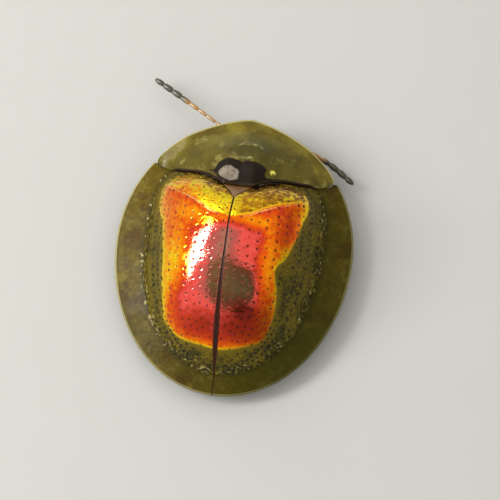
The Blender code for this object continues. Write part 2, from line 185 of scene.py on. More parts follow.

# Zones of the shield: x, s, reach in x and in s, tint, strength, and painted shade that darkens it
TINT_ZONES = (
    (0.05, 4.05, 0.3, 0.75, 0.0, 0.95, 0.0),
    (-0.3, 2.8, 0.9, 0.74, 0.02, 0.98, 0.0),
    (-0.75, 2.75, 0.33, 0.5, 0.0, 0.9, 0.0),
    (1.5, 4.95, 0.55, 0.5, 0.6, 0.95, 0.0),
    (1.55, 3.5, 0.36, 0.85, 0.76, 0.95, 0.0),
    (1.5, 2.3, 0.09, 0.45, 0.42, 0.8, 0.0),
    (1.05, 2.3, 0.3, 0.42, 0.22, 0.9, 0.0),
    (0.5, 1.72, 0.5, 0.32, 0.37, 0.95, 0.5),
    (-0.6, 1.72, 0.75, 0.4, 0.37, 0.95, 0.85),
    (-0.82, 4.05, 0.28, 0.55, 0.24, 0.95, 0.0),
    (-1.3, 3.6, 0.24, 1.2, 0.6, 0.9, 0.0),
    (-0.75, 4.78, 0.75, 0.26, 0.66, 0.95, 0.0),
    (0.75, 4.55, 0.35, 0.25, 0.6, 0.7, 0.0),
    (0.25, 4.73, 0.6, 0.2, 0.58, 0.9, 0.0),
    (1.12, 4.87, 0.36, 0.22, 0.68, 0.9, 0.0),
    (-1.78, 4.8, 0.33, 0.55, 0.4, 0.9, 0.0),
    (-0.8, 2.2, 0.34, 0.24, 0.37, 0.9, 1.2),
    (-1.45, 2.0, 0.3, 0.7, 0.5, 0.7, 0.6),
    (1.75, 4.55, 0.2, 0.6, 0.53, 0.8, 0.0),
)

# The black mark at the base of the pronotum, as (x, s)
MARK = (
    (0.95, 6.5),
    (0.8, 6.55),
    (0.68, 6.78),
    (0.42, 6.9),
    (0.1, 6.86),
    (-0.02, 6.8),
    (-0.2, 6.88),
    (-0.55, 6.83),
    (-0.76, 6.7),
    (-0.78, 6.45),
    (-1.1, 6.5),
    (-1.6, 6.6),
    (-0.9, 6.36),
    (-0.5, 6.1),
    (0.0, 5.96),
    (0.45, 6.02),
    (0.8, 6.38),
)

# How many points of a skin are compared with others at a time, to spare memory
BATCH = 4000


# Numbers and surfaces


def smooth_step(low, high, value):
    """0 below low and 1 above high, with an S-shaped rise between."""
    t = np.clip((value - low) / (high - low), 0.0, 1.0)
    return t * t * (3 - 2 * t)


def bell(*ratios):
    """1 where every ratio is 0, and falling away from there as a bell does."""
    return np.exp(-sum(ratio**2 for ratio in ratios))


def unit(vectors):
    """The vectors at length 1."""
    return vectors / np.maximum(np.linalg.norm(vectors, axis=-1, keepdims=True), 1e-12)


def run_along(points):
    """The distance along a line of points, from its start to each of them."""
    return np.r_[0, np.cumsum(np.linalg.norm(np.diff(points, axis=0), axis=1))]


def superellipse_radius(angle, half_width, length, power):
    """The distance from the centre to a superellipse, along a ray at this angle from the midline."""
    across = np.abs(np.sin(angle) / half_width) ** power
    ahead = np.abs(np.cos(angle) / length) ** power
    return (across + ahead) ** (-1 / power)


def rim_height(s):
    """The outer edge's height, which rises a little towards the head."""
    return RIM_AT_TAIL + RIM_RISE * s


def polar(x, s):
    """The angle from the midline and the distance, seen from the middle of the dome."""
    return np.arctan2(x, s - DOME_S), np.hypot(x, s - DOME_S)


def disc_radius(angle):
    """The foot of the dome: a square-shouldered superellipse in front and a rounder one behind."""
    front = superellipse_radius(angle, DISC_HALF_WIDTH, DISC_FRONT, DISC_FRONT_POWER)
    rear = superellipse_radius(angle, DISC_HALF_WIDTH, DISC_REAR, DISC_REAR_POWER)
    return np.where(np.cos(angle) > 0, front, rear)


def outline_radius(angle):
    """The elytra's outline: two half ellipses that meet at the widest place."""
    return superellipse_radius(angle, HALF_WIDTH, np.where(np.cos(angle) > 0, OUTLINE_FRONT, DOME_S), 2)


def ridge_line(x):
    """The station of the ridges, which run from the hump out to the shoulders."""
    return np.interp(np.abs(x), *zip(*RIDGES))


def relief(x, s):
    """A sunken base in front of the ridges, a hump on the midline and a knob at each shoulder.

    The base falls away as the softened distance ahead of the ridge line, the others are bell shapes.
    """
    side = np.abs(x)
    ahead = np.logaddexp(0, (s - ridge_line(x)) / RIDGE_ROUND)
    base = -BASAL_SLOPE * RIDGE_ROUND * ahead * (1 - smooth_step(1.8, 2.5, side))
    hump = HUMP_HEIGHT * bell(x / HUMP_SPREAD, (s - HUMP_S) / HUMP_SPREAD)
    knob = KNOB_HEIGHT * bell((side - KNOB_X) / KNOB_SPREAD, (s - KNOB_S) / KNOB_SPREAD)
    return base + hump + knob


def dome_height(x, s):
    """The elytra's height over the plan: a dome inside its foot, and a rim that flattens outwards."""
    angle, reach = polar(x, s)
    disc = disc_radius(angle)
    ring = np.minimum(reach / disc, 1)
    dome = DISC_FOOT + DOME_HEIGHT * (1 - ring**DOME_POWER)
    dome = dome + relief(x, s) * (1 - smooth_step(0.85, 1.0, ring))
    out = np.clip((reach - disc) / (outline_radius(angle) - disc), 0, 1)
    rim = DISC_FOOT * (1 - out) ** RIM_FALL_POWER
    return rim_height(s) + np.where(reach <= disc, dome, rim)


def dome_normal(x, s):
    """The upward normal of the elytra over a point of the plan, from small steps to each side."""
    step = 0.03
    slope_x = (dome_height(x + step, s) - dome_height(x - step, s)) / (2 * step)
    slope_s = (dome_height(x, s + step) - dome_height(x, s - step)) / (2 * step)
    return unit(np.stack([-slope_x, -slope_s, np.ones_like(slope_x)], -1))


def hind_edge(x):
    """The pronotum's hind edge: a shallow arch with a lobe over the scutellum."""
    side = np.minimum(np.abs(x) / PRONOTUM_HALF_WIDTH, 1.0)
    arch = PRONOTUM_REAR * np.sqrt(1 - side**2) + LOBE_DEPTH * bell(x / LOBE_SPREAD)
    return PRONOTUM_CORNER_S - np.minimum(arch, LOBE_LIMIT)


def front_edge(x):
    """The pronotum's front edge, a blunt arch."""
    side = np.minimum(np.abs(x) / PRONOTUM_HALF_WIDTH, 1.0)
    arch = (1 - side**PRONOTUM_FRONT_POWER) ** (1 / PRONOTUM_FRONT_POWER)
    return PRONOTUM_CORNER_S + PRONOTUM_FRONT * arch


def base_edge(x):
    """The elytra's front edge: tucked under the pronotum, and just behind its corners and the scutellum."""
    tucked = BASE_TUCK * smooth_step(0.5, 0.85, np.abs(x)) * smooth_step(2.6, 2.2, np.abs(x))
    return hind_edge(x) - BASE_GAP + tucked


def even_points(points, count):
    """This many points at equal steps along a curve given by many points."""
    points = np.asarray(points, dtype=float)
    run = run_along(points)
    at = np.linspace(0, run[-1], count)
    return np.stack([np.interp(at, run, points[:, k]) for k in range(points.shape[1])], 1)


def through(keys, t):
    """A smooth curve through rows of (t, value, ...), as cubic pieces with slopes from the neighbours."""
    keys = np.asarray(keys, dtype=float)
    at, values = keys[:, 0], keys[:, 1:]
    slopes = np.gradient(values, at, axis=0)
    i = np.clip(np.searchsorted(at, t, side="right") - 1, 0, len(at) - 2)
    width = (at[i + 1] - at[i])[:, None]
    u = (np.asarray(t) - at[i])[:, None] / width
    return (
        values[i] * (2 * u**3 - 3 * u**2 + 1)
        + slopes[i] * width * (u**3 - 2 * u**2 + u)
        + values[i + 1] * (3 * u**2 - 2 * u**3)
        + slopes[i + 1] * width * (u**3 - u**2)
    )


class Skin:
    """Points, quads, a finish for each quad and named values for each point, all as arrays."""

    def __init__(self, points, quads, finish=0, values=None):
        self.points = np.asarray(points, dtype=float).reshape(-1, 3)
        self.quads = quads
        self.finish = np.broadcast_to(np.asarray(finish), (len(quads),)).copy()
        self.values = {k: np.asarray(v, dtype=float).ravel() for k, v in (values or {}).items()}

    def outward(self):
        """The same skin, with its faces turned outwards: the volume that they enclose is positive."""
        p = self.points * (1, -1, 1)
        a, b, c, d = (p[self.quads[:, k]] for k in range(4))
        volume = np.einsum("ij,ij->", a, np.cross(b, c)) + np.einsum("ij,ij->", a, np.cross(c, d))
        if volume < 0:
            self.quads = self.quads[:, ::-1]
        return self


def joined(skins):
    """Several skins as one. A named value that one lacks is 0 on it."""
    starts = np.cumsum([0] + [len(skin.points) for skin in skins[:-1]])
    values = {}
    for name in sorted({name for skin in skins for name in skin.values}):
        values[name] = np.concatenate([skin.values.get(name, np.zeros(len(skin.points))) for skin in skins])
    return Skin(
        np.concatenate([skin.points for skin in skins]),
        np.concatenate([skin.quads + start for skin, start in zip(skins, starts)]),
        np.concatenate([skin.finish for skin in skins]),
        values,
    )


def grid_quads(rows, columns, round_columns=False):
    """The quads of a grid of points in rows, closed round on itself if its columns go round."""
    i = np.arange(rows - 1)[:, None]
    j = np.arange(columns if round_columns else columns - 1)[None, :]
    k = (j + 1) % columns
    corners = (i * columns + j, i * columns + k, (i + 1) * columns + k, (i + 1) * columns + j)
    return np.stack(np.broadcast_arrays(*corners), -1).reshape(-1, 4)


def along_path(centres, widths, heights, around=20, up=(0, 0, 1), finish=0, values=None, floor=None):
    """An ellipse carried along a path: its half width lies across the path, its half height upwards."""
    centres = np.asarray(centres, dtype=float)
    ahead = unit(np.gradient(centres, axis=0))
    across = unit(np.cross(ahead, np.asarray(up, dtype=float)))
    over = np.cross(across, ahead)
    angle = np.linspace(0, TAU, around, endpoint=False)
    points = (
        centres[:, None]
        + across[:, None] * (np.asarray(widths)[:, None] * np.cos(angle))[..., None]
        + over[:, None] * (np.asarray(heights)[:, None] * np.sin(angle))[..., None]
    )
    if floor is not None:
        points[..., 2] = np.maximum(points[..., 2], floor)
    spread = {k: np.repeat(np.asarray(v, dtype=float), around) for k, v in (values or {}).items()}
    return Skin(points, grid_quads(len(centres), around, True), finish, spread).outward()


def limb(keys, samples=40, round_start=0.12, round_end=0.12, **ways):
    """A limb through rows of (t, x, s, z, half width, half height), with rounded ends.

    Near each end the section shrinks as a quarter circle does.
    """
    t = (1 - np.cos(np.pi * np.linspace(0, 1, samples))) / 2
    rows = through(keys, t)
    near = np.clip(np.minimum(t / round_start, (1 - t) / round_end), 0, 1)
    close = np.sqrt(np.clip(1 - (1 - near) ** 2, 0, 1))
    return along_path(rows[:, :3], rows[:, 3] * close, rows[:, 4] * close, values={"along": t}, **ways)


def straight_limb(start, end, sizes, samples, rounding, **ways):
    """A limb along a straight line, from rows of (t, half width, half height)."""
    keys = [(t, *(start + (end - start) * t), w, h) for t, w, h in sizes]
    return limb(keys, samples, *rounding, **ways)


def ellipsoid(centre, radii, around=28, rows=18):
    """An ellipsoid as a grid of latitude and longitude, its poles up and down."""
    lat = np.linspace(-np.pi / 2, np.pi / 2, rows)[:, None]
    lon = np.linspace(0, TAU, around, endpoint=False)[None, :]
    ways = (np.cos(lat) * np.cos(lon), np.cos(lat) * np.sin(lon), np.sin(lat))
    points = np.asarray(centre) + np.stack(np.broadcast_arrays(*ways), -1) * np.asarray(radii)
    return Skin(points, grid_quads(rows, around, True)).outward()


def ways_across(chance, ahead, count):
    """This many random unit ways, square to the way ahead."""
    ways = chance.normal(0, 1, (count, 3))
    return unit(ways - ahead * (ways * ahead).sum(1, keepdims=True))


def hairs(roots, ways, length, width):
    """Thin four-sided spikes, one from each root along its way, stoutest an eighth of the way up."""
    sides = 4
    ways = unit(ways)
    side = unit(np.cross(ways, np.array([0.31, 0.53, 0.79])))
    other = np.cross(ways, side)
    angle = np.linspace(0, TAU, sides, endpoint=False)
    ring = side[:, None] * np.cos(angle)[:, None] + other[:, None] * np.sin(angle)[:, None]
    base = np.repeat(roots[:, None], sides, axis=1)
    middle = base + ring * width + ways[:, None] * length * 0.12
    tip = base + ways[:, None] * length
    points = np.stack([base, middle, tip], 1)
    number = 3 * sides
    quads = (grid_quads(3, sides, True)[None] + number * np.arange(len(roots))[:, None, None]).reshape(-1, 4)
    return Skin(points, quads, 0, {"along": np.ones(len(roots) * number)}).outward()


def shell_between(top, bottom, finish_top, finish_bottom, finish_edge, values, bulge):
    """A closed thin shell from two matching grids, whose borders are joined over a rounded edge.

    The edge's middle line stands out from the border by bulge, along the way from the next row inwards.
    """
    rows, columns = top.shape[:2]
    index = np.arange(rows * columns).reshape(rows, columns)
    border = np.r_[index[0, :], index[1:, -1], index[-1, -2::-1], index[-2:0:-1, 0]]
    inside = np.r_[index[1, :], index[1:, -2], index[-2, -2::-1], index[-2:0:-1, 1]]
    flat_top, flat_bottom = top.reshape(-1, 3), bottom.reshape(-1, 3)
    out = unit(flat_top[border] - flat_top[inside])
    thick = np.linalg.norm(flat_top[border] - flat_bottom[border], axis=1)
    middle = (flat_top[border] + flat_bottom[border]) / 2 + out * (thick * bulge.ravel()[border])[:, None]
    count = rows * columns
    ring = 2 * count + np.arange(len(border))
    upper = np.stack([border, np.roll(border, -1), np.roll(ring, -1), ring], 1)
    lower = np.stack([ring, np.roll(ring, -1), count + np.roll(border, -1), count + border], 1)
    quads = grid_quads(rows, columns)
    all_quads = np.concatenate([quads[:, ::-1], quads + count, upper, lower])
    finishes = [np.broadcast_to(finish, (len(quads),)) for finish in (finish_top, finish_bottom)]
    finishes.append(np.tile(np.where(border < columns, 0, finish_edge), 2))
    spread = {k: np.concatenate([v.ravel(), v.ravel(), v.ravel()[border]]) for k, v in values.items()}
    points = np.concatenate([flat_top, flat_bottom, middle])
    return Skin(points, all_quads, np.concatenate(finishes), spread).outward()


def grid_normals(points):
    """Upward unit normals of a grid of points, from the steps to its neighbours."""
    normal = np.cross(np.gradient(points, axis=0), np.gradient(points, axis=1))
    return unit(normal * np.where(normal[..., 2:] < 0, -1, 1))


def nearest(points, spots, sizes, limit=2.0):
    """Each point's distance to the nearest spot, in that spot's size, and the spot's number."""
    best = np.full(len(points), limit)
    which = np.zeros(len(points), dtype=int)
    for start in range(0, len(points), BATCH):
        part = slice(start, start + BATCH)
        gap = np.linalg.norm(points[part, None] - spots[None], axis=2) / sizes[None]
        which[part] = gap.argmin(1)
        best[part] = np.minimum(gap.min(1), limit)
    return best, which


def inside_distance(x, s, outline, steps=12):
    """The signed distance to a closed outline through these corners, positive inside it."""
    corners = np.asarray(outline, dtype=float)
    corners = np.concatenate([corners[-1:], corners, corners[:2]])
    t = np.arange(len(outline) * steps) / steps + 1
    a = through(np.column_stack([np.arange(len(corners)), corners]), t)
    b = np.roll(a, -1, axis=0)
    run = (b - a)[None]
    p = np.stack([x.ravel(), s.ravel()], 1)
    found = np.empty(len(p))
    for start in range(0, len(p), BATCH):
        q = p[start : start + BATCH, None]
        u = np.clip(((q - a) * run).sum(-1) / np.maximum((run**2).sum(-1), 1e-12), 0, 1)
        gap = np.linalg.norm(q - a - run * u[..., None], axis=-1).min(1)
        above = (a[None, :, 1] > q[..., 1]) != (b[None, :, 1] > q[..., 1])
        rise = np.where(np.abs(run[..., 1]) < 1e-12, 1e-12, run[..., 1])
        cross = a[None, :, 0] + (q[..., 1] - a[None, :, 1]) / rise * run[..., 0]
        odd = (above & (q[..., 0] < cross)).sum(1) % 2 == 1
        found[start : start + BATCH] = np.where(odd, gap, -gap)
    return found.reshape(x.shape)


def new_mesh(name, points, quads):
    """A mesh from points in metres and quads, both as arrays."""
    mesh = bpy.data.meshes.new(name)
    mesh.vertices.add(len(points))
    mesh.vertices.foreach_set("co", points.astype(np.float32).ravel())
    mesh.loops.add(quads.size)
    mesh.loops.foreach_set("vertex_index", quads.astype(np.int32).ravel())
    mesh.polygons.add(len(quads))
    mesh.polygons.foreach_set("loop_start", np.arange(0, quads.size, 4, dtype=np.int32))
    mesh.update(calc_edges=True)
    return mesh


def new_object(name, data):
    """An object of the scene that shows this mesh, light or camera."""
    obj = bpy.data.objects.new(name, data)
    bpy.context.scene.collection.objects.link(obj)
    return obj


def add_piece(name, skins, finishes, nodes):
    """The skins as one object in metres, standing for these solids, riding on the body."""
    skin = joined(skins) if len(skins) > 1 else skins[0]
    mesh = new_mesh(name, skin.points * (MM, -MM, MM) + (0, TAIL_Y * MM, 0), skin.quads)
    mesh.polygons.foreach_set("material_index", skin.finish.astype(np.int32))
    for key, value in skin.values.items():
        mesh.attributes.new(key, "FLOAT", "POINT").data.foreach_set("value", value.astype(np.float32))
    bm = bmesh.new()
    bm.from_mesh(mesh)
    bmesh.ops.remove_doubles(bm, verts=bm.verts, dist=1e-7)
    bmesh.ops.dissolve_degenerate(bm, edges=bm.edges, dist=1e-9)
    bm.to_mesh(mesh)
    bm.free()
    mesh.shade_smooth()
    for finish in finishes:
        mesh.materials.append(finish)
    piece = new_object(name, mesh)
    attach(piece, "root")
    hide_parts(*nodes)


# Shader node groups and materials


class Nodes:
    """Short calls that add nodes to one tree and link them."""

    def __init__(self, tree):
        self.tree = tree

    def put(self, socket, value):
        """Links a socket to another's output, or sets its own value."""
        if isinstance(value, bpy.types.NodeSocket):
            self.tree.links.new(value, socket)
        elif isinstance(value, (tuple, list)) and socket.type == "RGBA" and len(value) == 3:
            socket.default_value = (*value, 1.0)
        else:
            socket.default_value = value

    def fill(self, sockets, values):
        for key, value in values.items():
            self.put(sockets[key], value)

    def add(self, kind, inputs=None, **settings):
        node = self.tree.nodes.new(kind)
        for key, value in settings.items():
            setattr(node, key, value)
        self.fill(node.inputs, inputs or {})
        return node

    def math(self, operation, a, b=0.0, clamp=False):
        return self.add("ShaderNodeMath", {0: a, 1: b}, operation=operation, use_clamp=clamp).outputs[0]

    def times(self, a, b):
        return self.math("MULTIPLY", a, b)

    def per_metre(self, per_mm):
        """A count per millimetre, given as a number or a socket, as the same count per metre."""
        if isinstance(per_mm, bpy.types.NodeSocket):
            return self.times(per_mm, 1 / MM)
        return per_mm / MM

    def mix(self, share, a, b, blend="MIX"):
        node = self.add("ShaderNodeMix", {0: share, 6: a, 7: b}, data_type="RGBA", blend_type=blend)
        return node.outputs[2]

    def layers(self, colour, *stack):
        """The colour under a stack of (mask, colour) layers, the lowest first."""
        for mask, over in stack:
            colour = self.mix(mask, colour, over)
        return colour

    def step(self, value, low, high, to_low=0.0, to_high=1.0):
        inputs = {0: value, 1: low, 2: high, 3: to_low, 4: to_high}
        return self.add("ShaderNodeMapRange", inputs, interpolation_type="SMOOTHSTEP").outputs[0]

    def value(self, name):
        return self.add("ShaderNodeAttribute", attribute_name=name).outputs["Fac"]

    def place(self):
        return self.add("ShaderNodeTexCoord").outputs["Object"]

    def x_and_y(self):
        return self.add("ShaderNodeSeparateXYZ", {0: self.place()}).outputs[:2]

    def noise(self, per_mm, detail=3.0, roughness=0.55):
        inputs = {"Vector": self.place(), "Scale": self.per_metre(per_mm), "Detail": detail}
        return self.add("ShaderNodeTexNoise", {**inputs, "Roughness": roughness}).outputs["Fac"]

    def patches(self, per_mm, low, high, to_low=0.0, to_high=1.0, detail=2.0, roughness=0.55):
        """A mask of patches: where the noise rises from low to high."""
        return self.step(self.noise(per_mm, detail, roughness), low, high, to_low, to_high)

    def cells(self, per_mm, feature="F1"):
        inputs = {"Vector": self.place(), "Scale": self.per_metre(per_mm)}
        return self.add("ShaderNodeTexVoronoi", inputs, feature=feature).outputs["Distance"]

    def ramp(self, share, stops):
        node = self.add("ShaderNodeValToRGB", {0: share})
        band = node.color_ramp.elements
        while len(band) < len(stops):
            band.new(0.5)
        for element, (at, colour) in zip(band, stops):
            element.position = at
            element.color = (*colour, 1.0)
        return node.outputs["Color"]

    def bump(self, height, distance):
        return self.add("ShaderNodeBump", {"Height": height, "Distance": distance * MM}).outputs["Normal"]

    def group(self, name, **inputs):
        return self.add("ShaderNodeGroup", inputs, node_tree=bpy.data.node_groups[name]).outputs


def paint(red, green, blue):
    """A screen colour, 0 to 255 a channel, as the linear colour that a shader takes."""
    screen = np.array([red, green, blue]) / 255
    linear = np.where(screen <= 0.04045, screen / 12.92, ((screen + 0.055) / 1.055) ** 2.4)
    return tuple(float(v) for v in linear)


def new_group(name, inputs, outputs):
    """An empty shader node group with float sockets: inputs with their defaults, and outputs."""
    tree = bpy.data.node_groups.new(name, "ShaderNodeTree")
    for socket, default in inputs.items():
        made = tree.interface.new_socket(socket, in_out="INPUT", socket_type="NodeSocketFloat")
        made.default_value = default
    for socket in outputs:
        tree.interface.new_socket(socket, in_out="OUTPUT", socket_type="NodeSocketFloat")
    nodes = Nodes(tree)
    return nodes, nodes.add("NodeGroupInput").outputs, nodes.add("NodeGroupOutput").inputs


def build_groups():
    """The effects that several finishes share: the pits, the grain of the cuticle and the painted highlight
    along the rim.
    """
    n, given, out = new_group("Pit spots", {"Size": 1.0}, ["Mask"])
    n.put(out["Mask"], n.step(n.math("DIVIDE", n.value("pit"), given["Size"]), 1.15, 0.45))

    n, given, out = new_group("Cuticle grain", {"Density": 12.0}, ["Height", "Mottle"])
    cell = n.cells(n.times(given["Density"], 2.2))
    n.put(out["Height"], n.math("ADD", n.noise(given["Density"], 4.0, 0.5), n.times(cell, 0.35)))
    n.put(out["Mottle"], n.step(n.noise(n.times(given["Density"], 0.16), 3.0, 0.5), 0.35, 0.65))

    # Painted highlight along the edge, by the distance to it
    n, given, out = new_group("Rim highlight line", {"Width": 0.05}, ["Mask"])
    n.put(out["Mask"], n.step(n.math("DIVIDE", n.value("edge"), given["Width"]), 1.2, 0.6))


def new_finish(name):
    """A material with a Principled shader, and the calls that add nodes to it."""
    finish = bpy.data.materials.new(name)
    finish.use_nodes = True
    finish.node_tree.nodes.clear()
    n = Nodes(finish.node_tree)
    shader = n.add("ShaderNodeBsdfPrincipled")
    output = n.add("ShaderNodeOutputMaterial")
    n.put(output.inputs["Surface"], shader.outputs[0])
    return finish, n, shader.inputs


def seam_mask(n, half_width):
    """1 near the midline: within half this many millimetres in front, one and a half times it behind.

    From the disc's foot to the tail it draws in to a thin line.
    """
    x, y = n.x_and_y()
    grow = n.times(n.step(y, 0.4 * MM, 3.5 * MM, 0.5, 1.5), n.step(y, 3.5 * MM, 4.35 * MM, 1.0, 0.3))
    reach = n.math("DIVIDE", n.math("ABSOLUTE", x), grow)
    return n.step(reach, half_width * 1.25 * MM, half_width * 0.7 * MM)


# The shield's metal colours by tint, from mauve to olive
METAL = (
    (0.0, paint(180, 118, 100)),
    (0.1, paint(186, 90, 82)),
    (0.22, paint(246, 90, 82)),
    (0.36, paint(208, 58, 30)),
    (0.48, paint(236, 90, 10)),
    (0.6, paint(252, 138, 6)),
    (0.72, paint(252, 182, 14)),
    (0.82, paint(244, 222, 30)),
    (0.91, paint(194, 132, 10)),
    (1.0, paint(98, 80, 10)),
)


def shield_metal(n):
    """The shield's colour: its tint with a fine dapple, painted shade in dark zones, painted highlights along
    the ridges and dashes at its base.
    """
    dapple = n.times(n.math("SUBTRACT", n.noise(7.0, 2.0, 0.5), 0.5), 0.32)
    tint = n.math("ADD", n.value("tint"), n.times(dapple, n.value("loose")), clamp=True)
    metal = n.ramp(tint, METAL)
    # Painted shade: the darkened zones are multiplied towards deep red-brown
    metal = n.mix(n.value("shade"), metal, n.mix(0.75, metal, paint(60, 14, 8), "MULTIPLY"))
    # Painted highlights: pale lines along the ridge crests
    sheen = n.times(n.value("crest"), n.patches(5.0, 0.38, 0.6, 0.2, 0.9))
    dashes = n.times(n.step(n.value("base"), 0.42, 0.12), n.patches(4.5, 0.5, 0.58, 0.0, 0.9))
    return n.layers(metal, (sheen, paint(255, 196, 96)), (dashes, paint(52, 34, 8)))


def disc_finish(look):
    """Mirror-bright shield with dark pits, an olive slope round it that is a painted dark reflection, and a
    red-brown seam.
    """
    finish, n, shader = new_finish("elytra_disc")
    pits = n.group("Pit spots", Size=1.0)["Mask"]
    grain = n.group("Cuticle grain", Density=9.0)
    bright = n.step(n.value("shield"), -0.02, 0.05)
    seam = seam_mask(n, look.seam_width / MM / 2)
    # Painted glints of light along the disc's foot
    glints = n.times(n.step(n.value("ring"), 0.93, 0.98), n.patches(8.0, 0.56, 0.68, 0.0, 0.5))
    # The olive slope: a painted dark reflection of the surroundings, on the disc outside the shield
    olive = n.layers(
        n.mix(grain["Mottle"], paint(42, 38, 2), paint(82, 70, 6)),
        (n.patches(11.9, 0.5, 0.72, 0.0, 0.45, 1.0, 0.5), paint(130, 110, 10)),
        (glints, paint(176, 164, 108)),
        (n.step(n.value("shield"), -0.22, 0.0), paint(96, 80, 4)),
    )
    holes = n.times(pits, n.step(bright, 0.0, 1.0, 0.8, 0.95))
    colour = n.layers(
        n.mix(bright, olive, shield_metal(n)),
        (holes, n.mix(bright, paint(16, 14, 6), paint(52, 10, 6))),
        (seam, paint(48, 17, 6)),
        (n.step(n.value("base"), 0.09, 0.03), paint(34, 22, 8)),
    )
    clear = n.times(bright, n.math("SUBTRACT", 1.0, n.math("MAXIMUM", pits, seam)))
    values = {
        "Base Color": colour,
        "Metallic": n.times(clear, 0.95),
        "Roughness": n.step(clear, 0.0, 1.0, 0.45, 0.075),
        "Specular IOR Level": 0.14,
        "Coat Weight": n.step(clear, 0.0, 1.0, 0.03, 0.15),
        "Coat Roughness": 0.045,
        "Coat IOR": 1.4,
        "Normal": n.bump(grain["Height"], 0.005),
    }
    n.fill(shader, values)
    return finish


def margin_finish(look):
    """The clear, honey-olive rim of the elytra, with darker blotches and a painted highlight along its edge.

    Painted glints follow the disc's foot, more of them on the left. Painted shade dims the rim to the right
    and the rear.
    """
    finish, n, shader = new_finish("elytra_margin")
    grain = n.group("Cuticle grain", Density=7.0)
    pits = n.group("Pit spots", Size=1.0)["Mask"]
    rim = n.group("Rim highlight line", Width=0.035)["Mask"]
    x, y = n.x_and_y()
    # Painted glints along the disc's foot, more of them on the lit left
    left = n.step(x, 0.5 * MM, 2.5 * MM, 0.0, -0.07)
    foot = n.step(n.math("ADD", n.value("ring"), left), 1.09, 1.0)
    glints = n.times(n.patches(7.0, 0.56, 0.67), n.step(x, -0.5 * MM, 2.5 * MM, 0.5, 0.8))
    # Painted shade towards the right and the rear
    right, rear = n.step(x, 1.5 * MM, -3.4 * MM, 0.0, 0.55), n.step(y, 0.5 * MM, 4.6 * MM, 0.0, 0.4)
    cells = n.step(n.cells(5.0), 0.1, 0.75, 0.0, 0.6)
    colour = n.layers(
        n.mix(cells, paint(92, 76, 16), paint(70, 60, 10)),
        (n.patches(2.2, 0.5, 0.66, 0.0, 0.75, 5.0, 0.7), paint(112, 98, 38)),
        (n.patches(1.6, 0.5, 0.66, 0.0, 0.75, 4.0, 0.6), paint(64, 42, 12)),
        (n.step(n.value("ring"), 1.25, 1.0, 0.0, 0.75), paint(48, 42, 6)),
        (n.times(pits, 0.2), paint(50, 38, 14)),
        # Painted highlight along the edge
        (n.times(rim, 0.8), paint(160, 152, 104)),
        # Painted glints along the disc's foot
        (n.times(foot, glints), paint(172, 156, 108)),
        (n.times(seam_mask(n, look.seam_width / MM / 2), 0.75), paint(52, 30, 10)),
        # Painted shade to the right and the rear
        (n.math("ADD", right, rear, clamp=True), paint(38, 38, 4)),
    )
    values = {
        "Base Color": colour,
        "Alpha": n.step(n.value("ring"), 1.0, 1.35, 1.0, look.margin_opacity),
        "Roughness": n.step(grain["Mottle"], 0.0, 1.0, 0.36, 0.48),
        "Specular IOR Level": 0.06,
        "Normal": n.bump(grain["Height"], 0.012),
    }
    n.fill(shader, values)
    return finish


def plain_cuticle(name, low, high, grains, roughness=0.4, bump=0.01, coat=0.2, ends=None, end_colour=None):
    """Dull to glossy cuticle in two mottled colours, darker or paler towards an end of the piece."""
    finish, n, shader = new_finish(name)
    grain = n.group("Cuticle grain", Density=grains)
    colour = n.mix(grain["Mottle"], low, high)
    colour = n.mix(n.step(grain["Height"], 0.35, 0.8, 0.0, 0.35), colour, low)
    if ends:
        colour = n.mix(n.step(n.value("along"), *ends), colour, end_colour)
    values = {
        "Base Color": colour,
        "Roughness": n.step(grain["Height"], 0.3, 0.8, roughness * 0.8, roughness * 1.3),
        "Coat Weight": coat,
        "Coat Roughness": 0.15,
        "Normal": n.bump(grain["Height"], bump),
    }
    n.fill(shader, values)
    return finish


